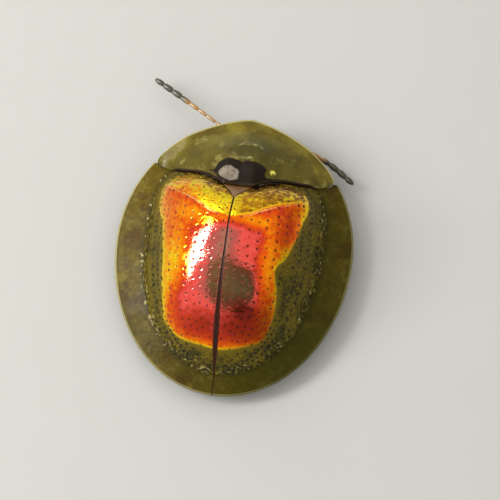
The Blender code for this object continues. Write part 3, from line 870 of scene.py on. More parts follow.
def pronotum_finish(look):
    """Clear olive cuticle, black at the lobe of the base, with painted highlights: a pale line along the
    edge, arcs over the hood, a reflection on the black mark and a small yellow glint.
    """
    finish, n, shader = new_finish("pronotum_shield")
    grain = n.group("Cuticle grain", Density=6.0)
    rim = n.group("Rim highlight line", Width=0.03)["Mask"]
    # Painted highlights: pale broken arcs over the hood
    painted_arc_highlights = n.times(n.value("arc"), n.patches(3.2, 0.48, 0.62, 0.0, 0.6))
    ragged = n.times(n.math("SUBTRACT", n.noise(6.0), 0.5), 0.12)
    mark = n.step(n.math("ADD", n.value("mark"), ragged), -0.02, 0.04)
    # Painted reflection: a broken purple-grey sheen on the black mark
    broken = n.times(n.math("SUBTRACT", n.noise(5.0), 0.5), 1.3)
    sheen = n.step(n.math("ADD", n.value("sheen"), broken), 0.3, 0.75)
    sheen = n.times(sheen, n.patches(9.0, 0.3, 0.6, 0.6, 1.0))
    colour = n.layers(
        n.mix(grain["Mottle"], paint(92, 80, 16), paint(120, 108, 34)),
        (n.patches(1.3, 0.42, 0.66, 0.0, 0.75, 4.0, 0.65), paint(76, 62, 16)),
        (n.step(n.value("hood"), 0.3, 0.9, 0.0, 0.68), paint(62, 56, 12)),
        (n.patches(2.4, 0.54, 0.7, 0.0, 0.45, 4.0, 0.65), paint(150, 140, 78)),
        (n.times(n.value("brow"), 0.72), paint(54, 52, 14)),
        (painted_arc_highlights, paint(190, 182, 120)),
        # The black mark, with its painted reflection
        (mark, n.mix(sheen, paint(22, 13, 4), paint(128, 116, 104))),
        # Painted glint: a small pale-yellow spot
        (n.times(n.value("spot"), n.patches(8.0, 0.36, 0.5)), paint(226, 212, 96)),
        (n.step(n.value("base"), 0.07, 0.02), paint(40, 26, 10)),
        # Painted highlight along the edge
        (n.times(rim, 0.85), paint(164, 156, 104)),
    )
    values = {
        "Base Color": colour,
        "Alpha": n.step(n.value("hood"), 0.0, 0.9, look.margin_opacity, 1.0),
        "Roughness": n.step(mark, 0.0, 1.0, 0.3, 0.36),
        "Specular IOR Level": 0.1,
        "Coat Weight": n.step(mark, 0.0, 1.0, 0.12, 0.06),
        "Coat Roughness": 0.18,
        "Normal": n.bump(grain["Height"], 0.008),
    }
    n.fill(shader, values)
    return finish


def eye_finish():
    """Black eye with a fine honeycomb of facets."""
    finish, n, shader = new_finish("compound_eye")
    cells = n.cells(26.0, "DISTANCE_TO_EDGE")
    line = n.step(cells, 0.12, 0.02)
    values = {
        "Base Color": n.mix(line, paint(22, 16, 12), paint(66, 48, 34)),
        "Roughness": n.step(line, 0.0, 1.0, 0.14, 0.5),
        "Coat Weight": 0.6,
        "Coat Roughness": 0.06,
        "Normal": n.bump(n.step(cells, 0.0, 0.3), 0.004),
    }
    n.fill(shader, values)
    return finish


def feeler_finish(look):
    """Pale amber beads that darken to an olive-black club."""
    finish, n, shader = new_finish("feeler_cuticle")
    grain = n.group("Cuticle grain", Density=14.0)
    stem = n.mix(grain["Mottle"], look.leg_colour[:3], paint(150, 118, 56))
    club = n.mix(grain["Mottle"], paint(34, 34, 16), paint(60, 58, 30))
    dark = n.step(n.value("reach"), 0.62, 0.72)
    values = {
        "Base Color": n.mix(dark, stem, club),
        "Roughness": n.step(dark, 0.0, 1.0, 0.32, 0.55),
        "Coat Weight": 0.2,
        "Coat Roughness": 0.2,
        "Normal": n.bump(grain["Height"], 0.008),
    }
    n.fill(shader, values)
    return finish


# Sizes and colours that a user would change


def length(name, description, default, unit="LENGTH", precision=6):
    """A size in metres, or in a lens's unit."""
    return bpy.props.FloatProperty(
        name=name, description=description, default=default, unit=unit, precision=precision
    )


def tone(name, description, default):
    """A colour, as linear red, green and blue."""
    return bpy.props.FloatVectorProperty(name=name, description=description, default=default, subtype="COLOR")


class ShellLook(bpy.types.PropertyGroup):
    pit_spacing: length("Pit spacing", "Distance between pits in a row", 0.00026)
    pit_size: length("Pit radius", "Radius of the pits near the seam", 0.000037)
    wall: length("Wall", "Thickness of the elytra on the dome", 0.00009)
    seam_width: length("Seam width", "Width of the red-brown seam line", 0.00012)
    margin_opacity: bpy.props.FloatProperty(
        name="Rim opacity",
        description="How solid the clear rim looks",
        default=0.98,
        min=0.3,
        max=1.0,
        subtype="FACTOR",
    )


class BodyLook(bpy.types.PropertyGroup):
    leg_colour: tone("Leg colour", "Colour of legs and feeler stems", paint(150, 104, 44))
    trunk_colour: tone("Trunk colour", "Colour of the underside", paint(34, 24, 16))
    feeler_radius: length("Feeler radius", "Radius of the feeler's stem", 0.00005)


class StageLook(bpy.types.PropertyGroup):
    floor_colour: tone("Floor colour", "Colour of the plain floor", (0.42, 0.42, 0.41))
    floor_size: length("Floor size", "Width of the square floor", 0.6)
    camera_distance: length("Camera distance", "From the camera to the beetle", 0.08)
    focal_length: length("Focal length", "Of the camera's lens", 189.5, "CAMERA", 1)


# The shell


def elytron_plan(columns, rim_columns, rows):
    """The left elytron's plan as a grid, from the seam to the outline and from the base to the tail.

    Inside the dome's foot each row runs straight from the seam to the foot, plus the base edge's own
    shape, which fades out by about the middle. Outside, it runs on to the outline.
    """
    angle = np.linspace(0.2, np.pi, 4000)
    fade = (1 - np.linspace(0, 1, rows)[:, None, None]) ** 4

    def swept(radius):
        """This radius as a line of (x, s), from the base edge round to the midline at the tail."""
        line = np.stack([radius(angle) * np.sin(angle), DOME_S + radius(angle) * np.cos(angle)], 1)
        line = line[line[:, 1] <= base_edge(line[:, 0])]
        line[-1, 0] = SEAM
        return line

    def base_line(start, end, count):
        x = np.linspace(start, end, count)
        return np.stack([x, base_edge(x)], 1)

    def ruled(start, end, base, count):
        """A grid from one line to the other, with the base line's own shape added at its first row."""
        u = np.linspace(0, 1, count)[None, :, None]
        own = even_points(base, count)[None]
        return start * (1 - u) + end * u + fade * (own - own[:, :1] * (1 - u) - own[:, -1:] * u)

    foot, rim = swept(disc_radius), swept(outline_radius)
    notch = [(SEAM, NOTCH_S), (0.16, 5.66)]
    disc_base = np.concatenate([notch, base_line(0.5, foot[0, 0], 200)])
    rim_base = base_line(foot[0, 0], rim[0, 0], 100)
    seam = np.stack([np.full(rows, SEAM), np.linspace(NOTCH_S, foot[-1, 1], rows)], 1)[:, None]
    foot = even_points(foot, rows)[:, None]
    rim = even_points(rim, rows)[:, None]
    disc = ruled(seam, foot, disc_base, columns)
    margin = ruled(foot, rim, rim_base, rim_columns + 1)
    plan = np.concatenate([disc, margin[:, 1:]], 1)
    plan[..., 0] = np.maximum(plan[..., 0], SEAM)
    return plan


def row_of_pits(line, spacing, size, seed, start, stop):
    """Pits along a line of surface points, at slightly uneven steps and sizes."""
    chance = np.random.default_rng(seed)
    run = run_along(line)
    steps = spacing * chance.uniform(0.82, 1.2, int(run[-1] / spacing) + 2)
    at = start + np.cumsum(steps) - steps[0]
    at = at[at < run[-1] - stop]
    spots = np.stack([np.interp(at, run, line[:, k]) for k in range(3)], 1)
    spots[:, :2] += chance.normal(0, spacing * 0.07, (len(at), 2))
    return np.column_stack([spots, size * chance.uniform(0.8, 1.25, len(at))])


def elytron_pits(top, columns, look):
    """All pits of one elytron as (x, s, z, radius).

    Ten rows lie on the disc, of which every second one stops short of the tail. Two rows of bigger pits
    follow its slope, one its foot, and three rows of shallow dimples the rim.
    """
    spacing, size = look.pit_spacing / MM, look.pit_size / MM
    rows = []
    for k in range(10):
        share = (k + 0.55) / 10
        stop = 0.2 if k % 2 else 0.9 + 0.35 * (k % 3)
        rows.append((int(share * (columns - 1)), spacing, size * (1 + 0.9 * share**2), 11 + k, 0.1, stop))
    for k, share in enumerate((0.8, 0.875)):
        rows.append((int(share * (columns - 1)), spacing * 0.62, size * 1.55, 40 + k, 0.3, 0.5))
    rows.append((columns - 2, 0.19, 0.06, 60, 0.2, 0.3))
    for k in range(3):
        rows.append((columns + 5 + 7 * k, 0.45, 0.05, 70 + k, 0.2, 0.3))
    return np.concatenate([row_of_pits(top[:, column], *row) for column, *row in rows])


def tint_values(x, s, inside):
    """Where the shield's colour lies in its series, how much painted shade darkens it, how freely dappled,
    and where highlights are painted along the ridges.
    """
    side = np.abs(x)
    past_ridge = s - ridge_line(x)
    ahead = smooth_step(0.0, 0.12, past_ridge)
    tint = np.interp(inside * (1 + 1.4 * smooth_step(2.1, 1.5, s)), *zip(*INSIDE_TINTS))
    shade = np.zeros_like(tint)
    for zone_x, zone_s, reach_x, reach_s, colour, strength, dark in TINT_ZONES:
        weight = bell((x - zone_x) / reach_x, (s - zone_s) / reach_s)
        tint += (colour - tint) * weight * strength
        shade += dark * weight
    front = np.interp(x, *zip(*FRONT_TINTS)) + 0.1 * smooth_step(0.35, 0.9, past_ridge) * (x > 0)
    tint += (front - tint) * ahead * 0.95
    # Where highlights are painted along the ridge crests
    crest = bell(past_ridge / 0.035) * smooth_step(0.25, 0.5, side) * smooth_step(2.4, 2.1, side)
    loose = 0.65 + 0.65 * smooth_step(0.4, 1.5, side) + ahead * np.where(x > 0, 0.9, 0.2)
    return {"tint": tint, "shade": np.clip(shade, 0, 1), "loose": loose, "crest": crest}


def unevenness(x, s):
    """A faint waviness of the elytra, from seven crossing waves."""
    waves = np.random.default_rng(5).uniform(-1, 1, (7, 3))
    return 0.0016 * sum(np.sin(x * a * 9 + s * b * 9 + c * 6) for a, b, c in waves)


def elytron_skin(side, look):
    """One elytron: a thin domed shell with pits, dents at its rim, and a rounded edge."""
    columns, rim_columns, rows = 104, 32, 322
    plan = elytron_plan(columns, rim_columns, rows)
    x, s = plan[..., 0], plan[..., 1]
    angle, reach = polar(x, s)
    disc, outline = disc_radius(angle), outline_radius(angle)
    ring = np.where(reach <= disc, reach / disc, 1 + (reach - disc) / (outline - disc))

    top = np.stack([x, s, dome_height(x, s)], -1)
    normal = dome_normal(x, s)
    pits = elytron_pits(top, columns, look)
    pit, which = nearest(top.reshape(-1, 3), pits[:, :3], pits[:, 3])
    pit = pit.reshape(x.shape)
    depth = 0.3 * pits[which, 3].reshape(x.shape) * np.clip(1 - (pit / 1.25) ** 2, 0, 1) ** 2
    depth = depth * np.where(reach > disc, 0.35, 1.0)
    outer = top - normal * depth[..., None]
    outer[..., 2] += unevenness(x, s) * smooth_step(0.1, 0.5, x)

    thick = look.wall / MM * (1 - 0.45 * np.clip(ring - 1, 0, 1))
    inner = outer - normal * thick[..., None]
    inner[..., 0] = np.maximum(inner[..., 0], SEAM)
    inside = inside_distance(x * side, s, SHIELD)
    values = {
        "pit": pit,
        "shield": inside,
        "ring": ring,
        "edge": np.maximum(outline - reach, 0),
        "base": np.maximum(hind_edge(x) - BASE_GAP - s, 0) + np.where(x < 0.5, 1.0, 0.0),
        **tint_values(x * side, s, inside),
    }

    on_disc = np.arange(columns + rim_columns - 1) < columns - 1
    finish_top = np.tile(np.where(on_disc, 0, 1), rows - 1)
    finish_bottom = np.tile(np.where(on_disc, 2, 1), rows - 1)
    bulge = np.zeros_like(x)
    bulge[:, -1] = 0.5
    bulge[0, :] = 0.35
    for grid in (outer, inner):
        grid[..., 0] *= side
    return shell_between(outer, inner, finish_top, finish_bottom, 1, values, bulge)


class BEETLE_OT_elytra(bpy.types.Operator):
    """Make both elytra, with their pits and their mirror-bright shield"""

    bl_idname = "beetle.elytra"
    bl_label = "Elytra"

    def execute(self, context):
        look = context.scene.shell_look
        under = plain_cuticle("elytra_underside", paint(70, 62, 26), paint(98, 88, 42), 8.0, 0.5, 0.01, 0.1)
        finishes = [disc_finish(look), margin_finish(look), under]
        for side, word in ((1, "left"), (-1, "right")):
            skin = elytron_skin(side, look)
            add_piece("wing_case_" + word, [skin], finishes, ["elytron_" + word])
        return {"FINISHED"}


def pronotum_grid(columns, hood_rows, margin_rows):
    """The pronotum's outer surface: rows 0 to 1 fall down the hood, rows 1 to 2 cross the flat margin.

    The hood falls as one less the square of the row, and two low arcs swell over the head.
    """
    turn = np.r_[0, np.linspace(0.02, 0.98, columns - 2), 1]
    x = PRONOTUM_HALF_WIDTH * np.sin(np.pi * (turn - 0.5))[None]
    row = np.concatenate([np.linspace(0, 1, hood_rows), np.linspace(1, 2, margin_rows + 1)[1:]])[:, None]
    hind, front = hind_edge(x), front_edge(x)
    hood_end = hind_edge(0) + HOOD_LENGTH * np.sqrt(np.maximum(0, 1 - (x / HOOD_HALF_WIDTH) ** 2))
    hood_end = np.clip(hood_end, hind + 0.4 * (front - hind), hind + 0.9 * (front - hind))
    s = np.where(row <= 1, hind + (hood_end - hind) * row, hood_end + (front - hood_end) * (row - 1))
    lift = PRONOTUM_LIFT - CORNER_DROP * smooth_step(1.8, 2.7, np.abs(x))
    base = dome_height(x, hind - HOOD_BEHIND) + HOOD_PROUD - rim_height(hind) - lift
    base = base * (1 - smooth_step(2.25, 2.65, np.abs(x)))
    z = rim_height(s) + lift + base * (1 - np.minimum(row, 1) ** 2) ** 1.15
    swell = np.hypot((x + 0.05) / 0.62, (s - 7.22) / 0.34)
    z = z + 0.03 * bell((swell - 0.9) / 0.25) - 0.03 * bell(x / 0.06, (s - 7.12) / 0.06)
    x = np.broadcast_to(x, s.shape)
    return np.stack([x, s, z], -1), np.broadcast_to(row, s.shape), hind, front


def pronotum_skin(look):
    """The pronotum as a thin closed shell that is thinnest at its front edge."""
    top, row, hind, front = pronotum_grid(181, 92, 44)
    normal = grid_normals(top)
    normal[:, :3] = normal[:, 3:4]
    normal[:, -3:] = normal[:, -4:-3]
    x, s = top[..., 0], top[..., 1]
    side = np.abs(x)
    edge = np.minimum(front - s, (PRONOTUM_HALF_WIDTH - side) * 0.8 + (front - s) * 0.5)
    thick = look.wall / MM * (0.55 + 0.45 * smooth_step(0.0, 0.5, edge))
    thick = thick * smooth_step(0.0, 0.06, PRONOTUM_HALF_WIDTH - side)
    bottom = top - normal * thick[..., None]
    # arc, sheen and spot place painted light: highlight arcs over the hood, a reflection on the black mark
    # and a small glint
    arc = np.hypot((x + 0.05) / 0.52, (s - 7.26) / 0.27)
    sheen = np.hypot((x - 0.32) / 0.36, (s - 6.34 - 0.12 * x) / 0.26)
    values = {
        "hood": np.clip(1.35 - row, 0, 1),
        "mark": inside_distance(x, s, MARK),
        "arc": bell((arc - 1) / 0.16) * smooth_step(0.5, 0.3, np.abs(x + 0.1)),
        "brow": bell((x + 0.45) / 0.95, (s - 7.5) / 0.4),
        "sheen": smooth_step(1.2, 0.6, sheen),
        "spot": smooth_step(0.1, 0.04, np.hypot(x + 0.95, s - 6.65)),
        "edge": np.maximum(edge, 0),
        "base": s - hind + 0.1 * smooth_step(1.9, 2.45, side),
    }
    bulge = np.zeros_like(x)
    bulge[-1, 1:-1] = 0.5
    bulge[0, 1:-1] = 0.4
    return shell_between(top, bottom, 0, 1, 0, values, bulge)


class BEETLE_OT_pronotum(bpy.types.Operator):
    """Make the pronotum, the clear shield over the head"""

    bl_idname = "beetle.pronotum"
    bl_label = "Pronotum"

    def execute(self, context):
        look = context.scene.shell_look
        dark, pale = paint(78, 70, 30), paint(108, 98, 50)
        under = plain_cuticle("pronotum_underside", dark, pale, 8.0, 0.5, 0.01, 0.1)
        finishes = [pronotum_finish(look), under]
        add_piece("head_shield", [pronotum_skin(look)], finishes, ["pronotum"])
        return {"FINISHED"}


class BEETLE_OT_scutellum(bpy.types.Operator):
    """Make the scutellum, the small triangle between the wing cases"""

    bl_idname = "beetle.scutellum"
    bl_label = "Scutellum"

    def execute(self, context):
        rows, columns = 30, 41
        front_s, rear_s, thick = 6.16, NOTCH_S + 0.03, 0.14
        v = np.linspace(0, 1, rows)[:, None]
        u = np.linspace(-1, 1, columns)[None]
        s = front_s - (front_s - rear_s) * v + 0 * u
        x = u * np.interp(v, (0, 0.17, 0.72, 1.0), (0.5, 0.46, 0.13, 0.012))
        crown = 0.03 * (1 - u**2) * np.sin(np.pi * np.clip(v * 1.05, 0, 1)) ** 0.5
        top = np.stack([x, s, dome_height(x, np.minimum(s, 6.05)) - 0.012 + crown], -1)
        bottom = top - np.array([0, 0, thick])
        values = {"along": np.broadcast_to(v, x.shape)}
        skin = shell_between(top, bottom, 0, 0, 0, values, np.zeros_like(x))
        brown, amber, dark = paint(88, 58, 26), paint(122, 84, 42), paint(40, 22, 12)
        finish = plain_cuticle("scutellum_plate", brown, amber, 16.0, 0.3, 0.006, 0.5, (0.35, 0.0), dark)
        add_piece("scutellum_plate", [skin], [finish], ["scutellum"])
        return {"FINISHED"}


# The trunk, head and limbs


def trunk_section(s, angle):
    """The trunk's skin: a blunt keel below, flanks, and a back that keeps well under the shell."""
    behind = np.clip((TRUNK_WIDEST_S - s) / (TRUNK_WIDEST_S - TRUNK_TAIL_S + 0.12), 0, 1)
    before = np.clip((s - TRUNK_WIDEST_S) / (TRUNK_FRONT_S - TRUNK_WIDEST_S), 0, 1)
    half = TRUNK_HALF_WIDTH * np.sqrt(1 - behind**2.4) * (1 - 0.3 * before**2)
    x = half * np.cos(angle)

    def under(across):
        """The height at SHELL_DEPTH under the shell, measured square to it."""
        return dome_height(across, s) - SHELL_DEPTH / dome_normal(across, s)[..., 2]

    flank = np.minimum(FLANK_Z, under(half) - 0.02)
    turn = np.abs(np.sin(angle))
    back = np.maximum(flank + 0.12, np.minimum(BACK_Z, under(np.zeros_like(half))))
    top = np.maximum(flank, np.minimum(flank + (back - flank) * turn**0.9, under(x)))
    tail = 1 - smooth_step(TRUNK_TAIL_S, TRUNK_TAIL_S + 1.6, s)
    belly = np.minimum(BELLY_Z + (flank - 0.12 - BELLY_Z) * 0.5 * tail, flank - 0.15)
    low = flank - (flank - belly) * turn**1.5
    return x, np.where(np.sin(angle) > 0, top, low)


def trunk_skin(start, end, rows, around, plates=0):
    """A length of the trunk with closed ends.

    Its belly has plates that overlap like tiles, or else a shallow groove along the middle.
    """
    angles = np.linspace(0, TAU, around, endpoint=False)
    s, angle = np.meshgrid(np.linspace(start, end, rows), angles, indexing="ij")
    x, z = trunk_section(s, angle)
    under = smooth_step(-0.1, -0.45, np.sin(angle))
    along = ((s - start) / (end - start) * plates) % 1.0
    if plates:
        z = z + (0.07 * along**1.5 - 0.012 * bell((along - 0.06) / 0.05)) * under
    else:
        z = z + 0.02 * bell(x / 0.05) * under
    points = np.stack([x, s, z], -1)
    first, last = (np.broadcast_to(row.mean(0), row.shape)[None] for row in (points[0], points[-1]))
    points = np.concatenate([first, points, last])
    values = {"along": np.concatenate([along[:1], along, along[-1:]])}
    return Skin(points, grid_quads(rows + 2, around, True), 0, values).outward()


class BEETLE_OT_trunk(bpy.types.Operator):
    """Make the abdomen, the thorax and the prothorax, with the sockets of the legs"""

    bl_idname = "beetle.trunk"
    bl_label = "Trunk"

    def execute(self, context):
        low = tuple(context.scene.body_look.trunk_colour)
        brown, pale = paint(72, 52, 30), paint(120, 88, 46)
        belly = plain_cuticle("belly_plates", low, brown, 10.0, 0.38, 0.012, 0.3, (0.16, 0.02), pale)
        chest = plain_cuticle("chest_plates", low, paint(62, 44, 28), 8.0, 0.42, 0.02, 0.3)
        abdomen = trunk_skin(TRUNK_TAIL_S, ABDOMEN_S, 180, 96, VENTRITES)
        add_piece("belly", [abdomen], [belly], ["abdomen"])
        thorax = [trunk_skin(ABDOMEN_S + 0.06, TRUNK_FRONT_S, 90, 96)]
        for side in (1, -1):
            thorax.append(ellipsoid((0.5 * side, 5.3, 0.92), (0.34, 0.24, 0.3)))
            thorax.append(ellipsoid((0.46 * side, 3.98, 0.96), (0.36, 0.2, 0.28)))
        add_piece("chest", thorax, [chest], ["thorax"])
        keys = (
            (0, 0, 6.1, 1.4, 0.86, 0.3),
            (0.2, 0, 6.28, 1.4, 0.9, 0.34),
            (0.45, 0, 6.45, 1.4, 0.98, 0.36),
            (0.75, 0, 6.7, 1.33, 0.93, 0.34),
            (1, 0, 6.98, 1.2, 0.7, 0.28),
        )
        collar = [limb(keys, 48, 0.1, 0.12, around=64)]
        for side in (1, -1):
            collar.append(ellipsoid((0.4 * side, 6.48, 0.98), (0.26, 0.24, 0.34)))
        add_piece("collar", collar, [chest], ["prothorax"])
        return {"FINISHED"}


def head_skin():
    """The skull, with a groove down the forehead and a boss at the root of each feeler."""
    keys = (
        (0, 0, 7.0, 1.0, 0.4, 0.3),
        (0.2, 0, 7.18, 0.92, 0.52, 0.37),
        (0.5, 0, 7.42, 0.83, 0.6, 0.4),
        (0.78, 0, 7.64, 0.74, 0.48, 0.32),
        (1, 0, 7.8, 0.66, 0.3, 0.2),
    )
    head = limb(keys, 64, 0.12, 0.16, around=72)
    x, s, z = head.points.T
    groove = 0.03 * bell(x / 0.035) * smooth_step(7.3, 7.5, s) * smooth_step(0.7, 0.95, z)
    head.points[:, 2] += 0.05 * bell((np.abs(x) - 0.24) / 0.1, (s - 7.66) / 0.12) - groove
    return head


def mouth_skins():
    """The upper and lower lip, two jaws, and a palp of three short joints at each side."""
    lips = (
        ((0, 0, 7.55, 0.5, 0.24, 0.16), (0.5, 0, 7.6, 0.36, 0.27, 0.15), (1, 0, 7.6, 0.2, 0.2, 0.1)),
        ((0, 0, 7.42, 0.48, 0.2, 0.1), (0.5, 0, 7.42, 0.32, 0.17, 0.09), (1, 0, 7.44, 0.16, 0.12, 0.06)),
    )
    up = (0, 1, 0)
    mouth = [limb(lip, 32, up=up, around=36) for lip in lips]
    for side in (1, -1):
        jaw = (
            (0, 0.2 * side, 7.52, 0.36, 0.09, 0.09),
            (0.5, 0.22 * side, 7.54, 0.22, 0.08, 0.08),
            (0.85, 0.12 * side, 7.56, 0.12, 0.05, 0.05),
            (1, 0.03 * side, 7.56, 0.1, 0.02, 0.02),
        )
        mouth.append(limb(jaw, 36, 0.1, 0.1, up=up, around=24))
        joint = np.array([0.17 * side, 7.4, 0.36])
        for reach, size in ((0.1, 0.045), (0.12, 0.05), (0.12, 0.042)):
            end = joint + np.array([0.05 * side, 0.01, -0.085]) * reach / 0.1
            end[2] = max(end[2], 0.08)
            sizes = [(t, size * share, size * share) for t, share in ((0, 0.8), (0.6, 1.1), (1, 0.9))]
            mouth.append(straight_limb(joint, end, sizes, 14, (0.25, 0.25), up=up, around=14))
            joint = end
    return mouth


class BEETLE_OT_head(bpy.types.Operator):
    """Make the head, its eyes and its mouthparts"""

    bl_idname = "beetle.head"
    bl_label = "Head"

    def execute(self, context):
        skull = plain_cuticle("head_cuticle", paint(84, 52, 22), paint(134, 94, 46), 12.0, 0.36, 0.01, 0.3)
        add_piece("skull", [head_skin()], [skull], ["head"])
        eye = eye_finish()
        for side, word in ((1, "left"), (-1, "right")):
            ball = ellipsoid((0.63 * side, 7.42, 0.77), (0.3, 0.27, 0.29), 72, 48)
            add_piece("faceted_eye_" + word, [ball], [eye], ["eye_" + word])
        dark = plain_cuticle("mouth_cuticle", paint(58, 32, 16), paint(104, 66, 32), 16.0, 0.36, 0.008, 0.3)
        add_piece("mouth", mouth_skins(), [dark], ["mouthparts"])
        return {"FINISHED"}


def bead_widths(t, radius):
    """The feeler's radius along its length: a string of beads, stout first, slim, then a thick club."""
    segments = len(SEGMENT_SIZES)
    number = np.minimum((t * segments).astype(int), segments - 1)
    within = t * segments - number
    swell = 0.62 + 0.38 * np.sin(np.pi * np.clip(within, 0, 1) ** 0.8) ** 0.6
    end = np.sqrt(np.clip(1 - np.maximum(0, (within - 0.45) / 0.55) ** 2, 0, 1))
    tip = np.where(number == segments - 1, end, 1)
    return radius * np.array(SEGMENT_SIZES)[number] * swell * tip


def feeler_skins(side, points, radius):
    """One feeler of beads through these points, with fine short hairs all over."""
    points = np.array(((0.22 * side, 7.78, 0.62),) + points)
    run = run_along(points)
    t = np.linspace(0, 1, len(SEGMENT_SIZES) * 16 + 1)
    centres = through(np.column_stack([run / run[-1], points]), t)
    widths = bead_widths(t, radius)
    widths[0] = widths[-1] = 0
    beads = along_path(centres, widths, widths, 22, values={"reach": t, "along": t})
    chance = np.random.default_rng(80 + side)
    pick = chance.integers(16, len(t) - 3, 260)
    ahead = unit(np.gradient(centres, axis=0)[pick])
    ways = ways_across(chance, ahead, len(pick))
    roots = centres[pick] + ways * widths[pick][:, None] * 0.9
    fuzz = hairs(roots, ways + ahead * 1.2, 0.07, 0.0035)
    fuzz.values["reach"] = np.repeat(t[pick], len(fuzz.points) // len(pick))
    return [beads, fuzz]


class BEETLE_OT_feelers(bpy.types.Operator):
    """Make the two feelers, each of eleven segments with a dark club"""

    bl_idname = "beetle.feelers"
    bl_label = "Feelers"

    def execute(self, context):
        look = context.scene.body_look
        finish = feeler_finish(look)
        for side, word in ((1, "left"), (-1, "right")):
            skins = feeler_skins(side, FEELERS[word], look.feeler_radius / MM)
            add_piece("feeler_" + word, skins, [finish], ["antenna_" + word])
        return {"FINISHED"}


def femur_skins(hip, knee):
    """The thigh: a spindle that is stoutest at its middle, with a trochanter at its root."""
    spindle = ((0, 0.1, 0.1), (0.12, 0.15, 0.15), (0.45, 0.22, 0.19), (0.8, 0.17, 0.16), (1, 0.13, 0.13))
    trochanter = ((0, 0.15, 0.15), (0.6, 0.15, 0.15), (1, 0.13, 0.13))
    inner = hip + (hip - knee) * 0.08 + np.array([0, 0, 0.12])
    return [
        straight_limb(hip, knee, spindle, 48, (0.1, 0.1), around=36),
        straight_limb(inner, hip + (knee - hip) * 0.18, trochanter, 24, (0.3, 0.3), around=28),
    ]


def tibia_skins(knee, ankle, seed):
    """The shin: slim at the knee, bowed a little, wider at the ankle, and fringed with hairs."""
    run = ankle - knee
    sizes = ((0, 0.09, 0.09), (0.15, 0.1, 0.1), (0.6, 0.12, 0.11), (0.9, 0.16, 0.13), (1, 0.14, 0.12))

    def middle(t):
        t = np.asarray(t)[..., None]
        return knee + run * t + np.array([0, 0, 0.05]) * np.sin(np.pi * t)

    shin = limb([(t, *middle(t), w, h) for t, w, h in sizes], 44, 0.1, 0.08, around=30)
    chance = np.random.default_rng(seed)
    t = chance.uniform(0.25, 1.0, 60)
    ahead = unit(run)
    ways = ways_across(chance, ahead, len(t))
    return [shin, hairs(middle(t) + ways * 0.1, ways + ahead * 1.6, 0.09, 0.004)]


def tarsus_skins(ankle, toe, seed):
    """The foot: three lobed pads that lie flat on the ground, a claw joint and two curved claws."""
    run = (toe - ankle) * (1, 1, 0)
    ahead = unit(run)
    across = np.array([ahead[1], -ahead[0], 0])

    def at(share, height):
        """The point at this share of the way to the toe, at this height."""
        return (ankle + run * share) * (1, 1, 0) + (0, 0, height)

    chance = np.random.default_rng(seed)
    side = np.resize((1, -1), 40)[:, None]
    skins = []
    for start, end, width in ((0.0, 0.3, 0.11), (0.24, 0.5, 0.135), (0.44, 0.8, 0.17)):
        a = at(start, 0.15 if start else ankle[2] - 0.01)
        b = at(end, 0.06)
        sizes = ((0, 0.06, 0.07), (0.35, 0.08, 0.08), (0.75, width, 0.085), (1, width * 0.9, 0.075))
        skins.append(straight_limb(a, b, sizes, 30, (0.2, 0.25), around=28, floor=0.0))
        share = chance.uniform(0.45, 0.98, len(side))[:, None]
        roots = a + (b - a) * share + across * side * width * 0.82
        roots[:, 2] = 0.035
        ways = across * side * 0.9 + ahead * 0.5 + (0, 0, -0.25)
        skins.append(hairs(roots, ways + chance.normal(0, 0.12, ways.shape) * (1, 1, 0), 0.05, 0.003))
    a, b = at(0.6, 0.13), at(0.96, 0.12)
    joint = ((0, 0.05, 0.05), (0.7, 0.06, 0.06), (1, 0.07, 0.07))
    skins.append(straight_limb(a, b, joint, 28, (0.2, 0.2), around=22))

    # Each claw as rows of t, ahead, outwards, up and radius
    hook = (
        (0, 0, 0.02, 0, 0.035),
        (0.4, 0.06, 0.07, 0.005, 0.03),
        (0.8, 0.12, 0.1, -0.045, 0.018),
        (1, 0.135, 0.105, -0.085, 0.006),
    )
    for side in (1, -1):
        claw = [(t, *(b + ahead * on + across * out * side + (0, 0, up)), r, r) for t, on, out, up, r in hook]
        skins.append(limb(claw, 24, 0.1, 0.1, around=14, finish=1))
    return skins


class BEETLE_OT_legs(bpy.types.Operator):
    """Make the six legs, each of thigh, shin and foot"""

    bl_idname = "beetle.legs"
    bl_label = "Legs"

    def execute(self, context):
        warm = tuple(context.scene.body_look.leg_colour)
        root, knee = paint(104, 66, 28), paint(92, 56, 24)
        pale, ankle = paint(184, 140, 70), paint(112, 72, 32)
        thigh = plain_cuticle("thigh_cuticle", root, warm, 12.0, 0.34, 0.008, 0.35, (0.8, 1.0), knee)
        shin = plain_cuticle("shin_cuticle", warm, pale, 14.0, 0.36, 0.008, 0.3, (0.75, 1.0), ankle)
        foot = plain_cuticle("foot_cuticle", paint(120, 84, 40), paint(168, 126, 66), 18.0, 0.5, 0.008, 0.1)
        claw = plain_cuticle("claw_cuticle", paint(40, 20, 10), paint(84, 48, 22), 20.0, 0.25, 0.004, 0.5)
        seed = 100
        for side, word in ((1, "left"), (-1, "right")):
            for place, joints in LEGS.items():
                hip, knee, ankle, toe = (np.array(joint) * (side, 1, 1) for joint in joints)
                seed += 5
                leg = place + "_" + word
                parts = (
                    ("thigh_", "_femur", femur_skins(hip, knee), [thigh]),
                    ("shin_", "_tibia", tibia_skins(knee, ankle, seed), [shin]),
                    ("foot_", "_tarsus", tarsus_skins(ankle, toe, seed + 1), [foot, claw]),
                )
                for piece, node, skins, finishes in parts:
                    add_piece(piece + leg, skins, finishes, ["leg_" + leg + node])
        return {"FINISHED"}


# The stage, in millimetres, with the head towards -Y

# What the camera looks at, the way back to it, the way that is up in its picture, and the cosine and
# sine of the roll that is added
CAMERA_TARGET = Vector((-0.483, TAIL_Y - 4.57, 0.786))
CAMERA_BACK = Vector((-0.0993, 0.2684, 0.9582))
CAMERA_AHEAD = Vector((0, -1, 0.045))
CAMERA_ROLL = (0.9888, 0.1495)

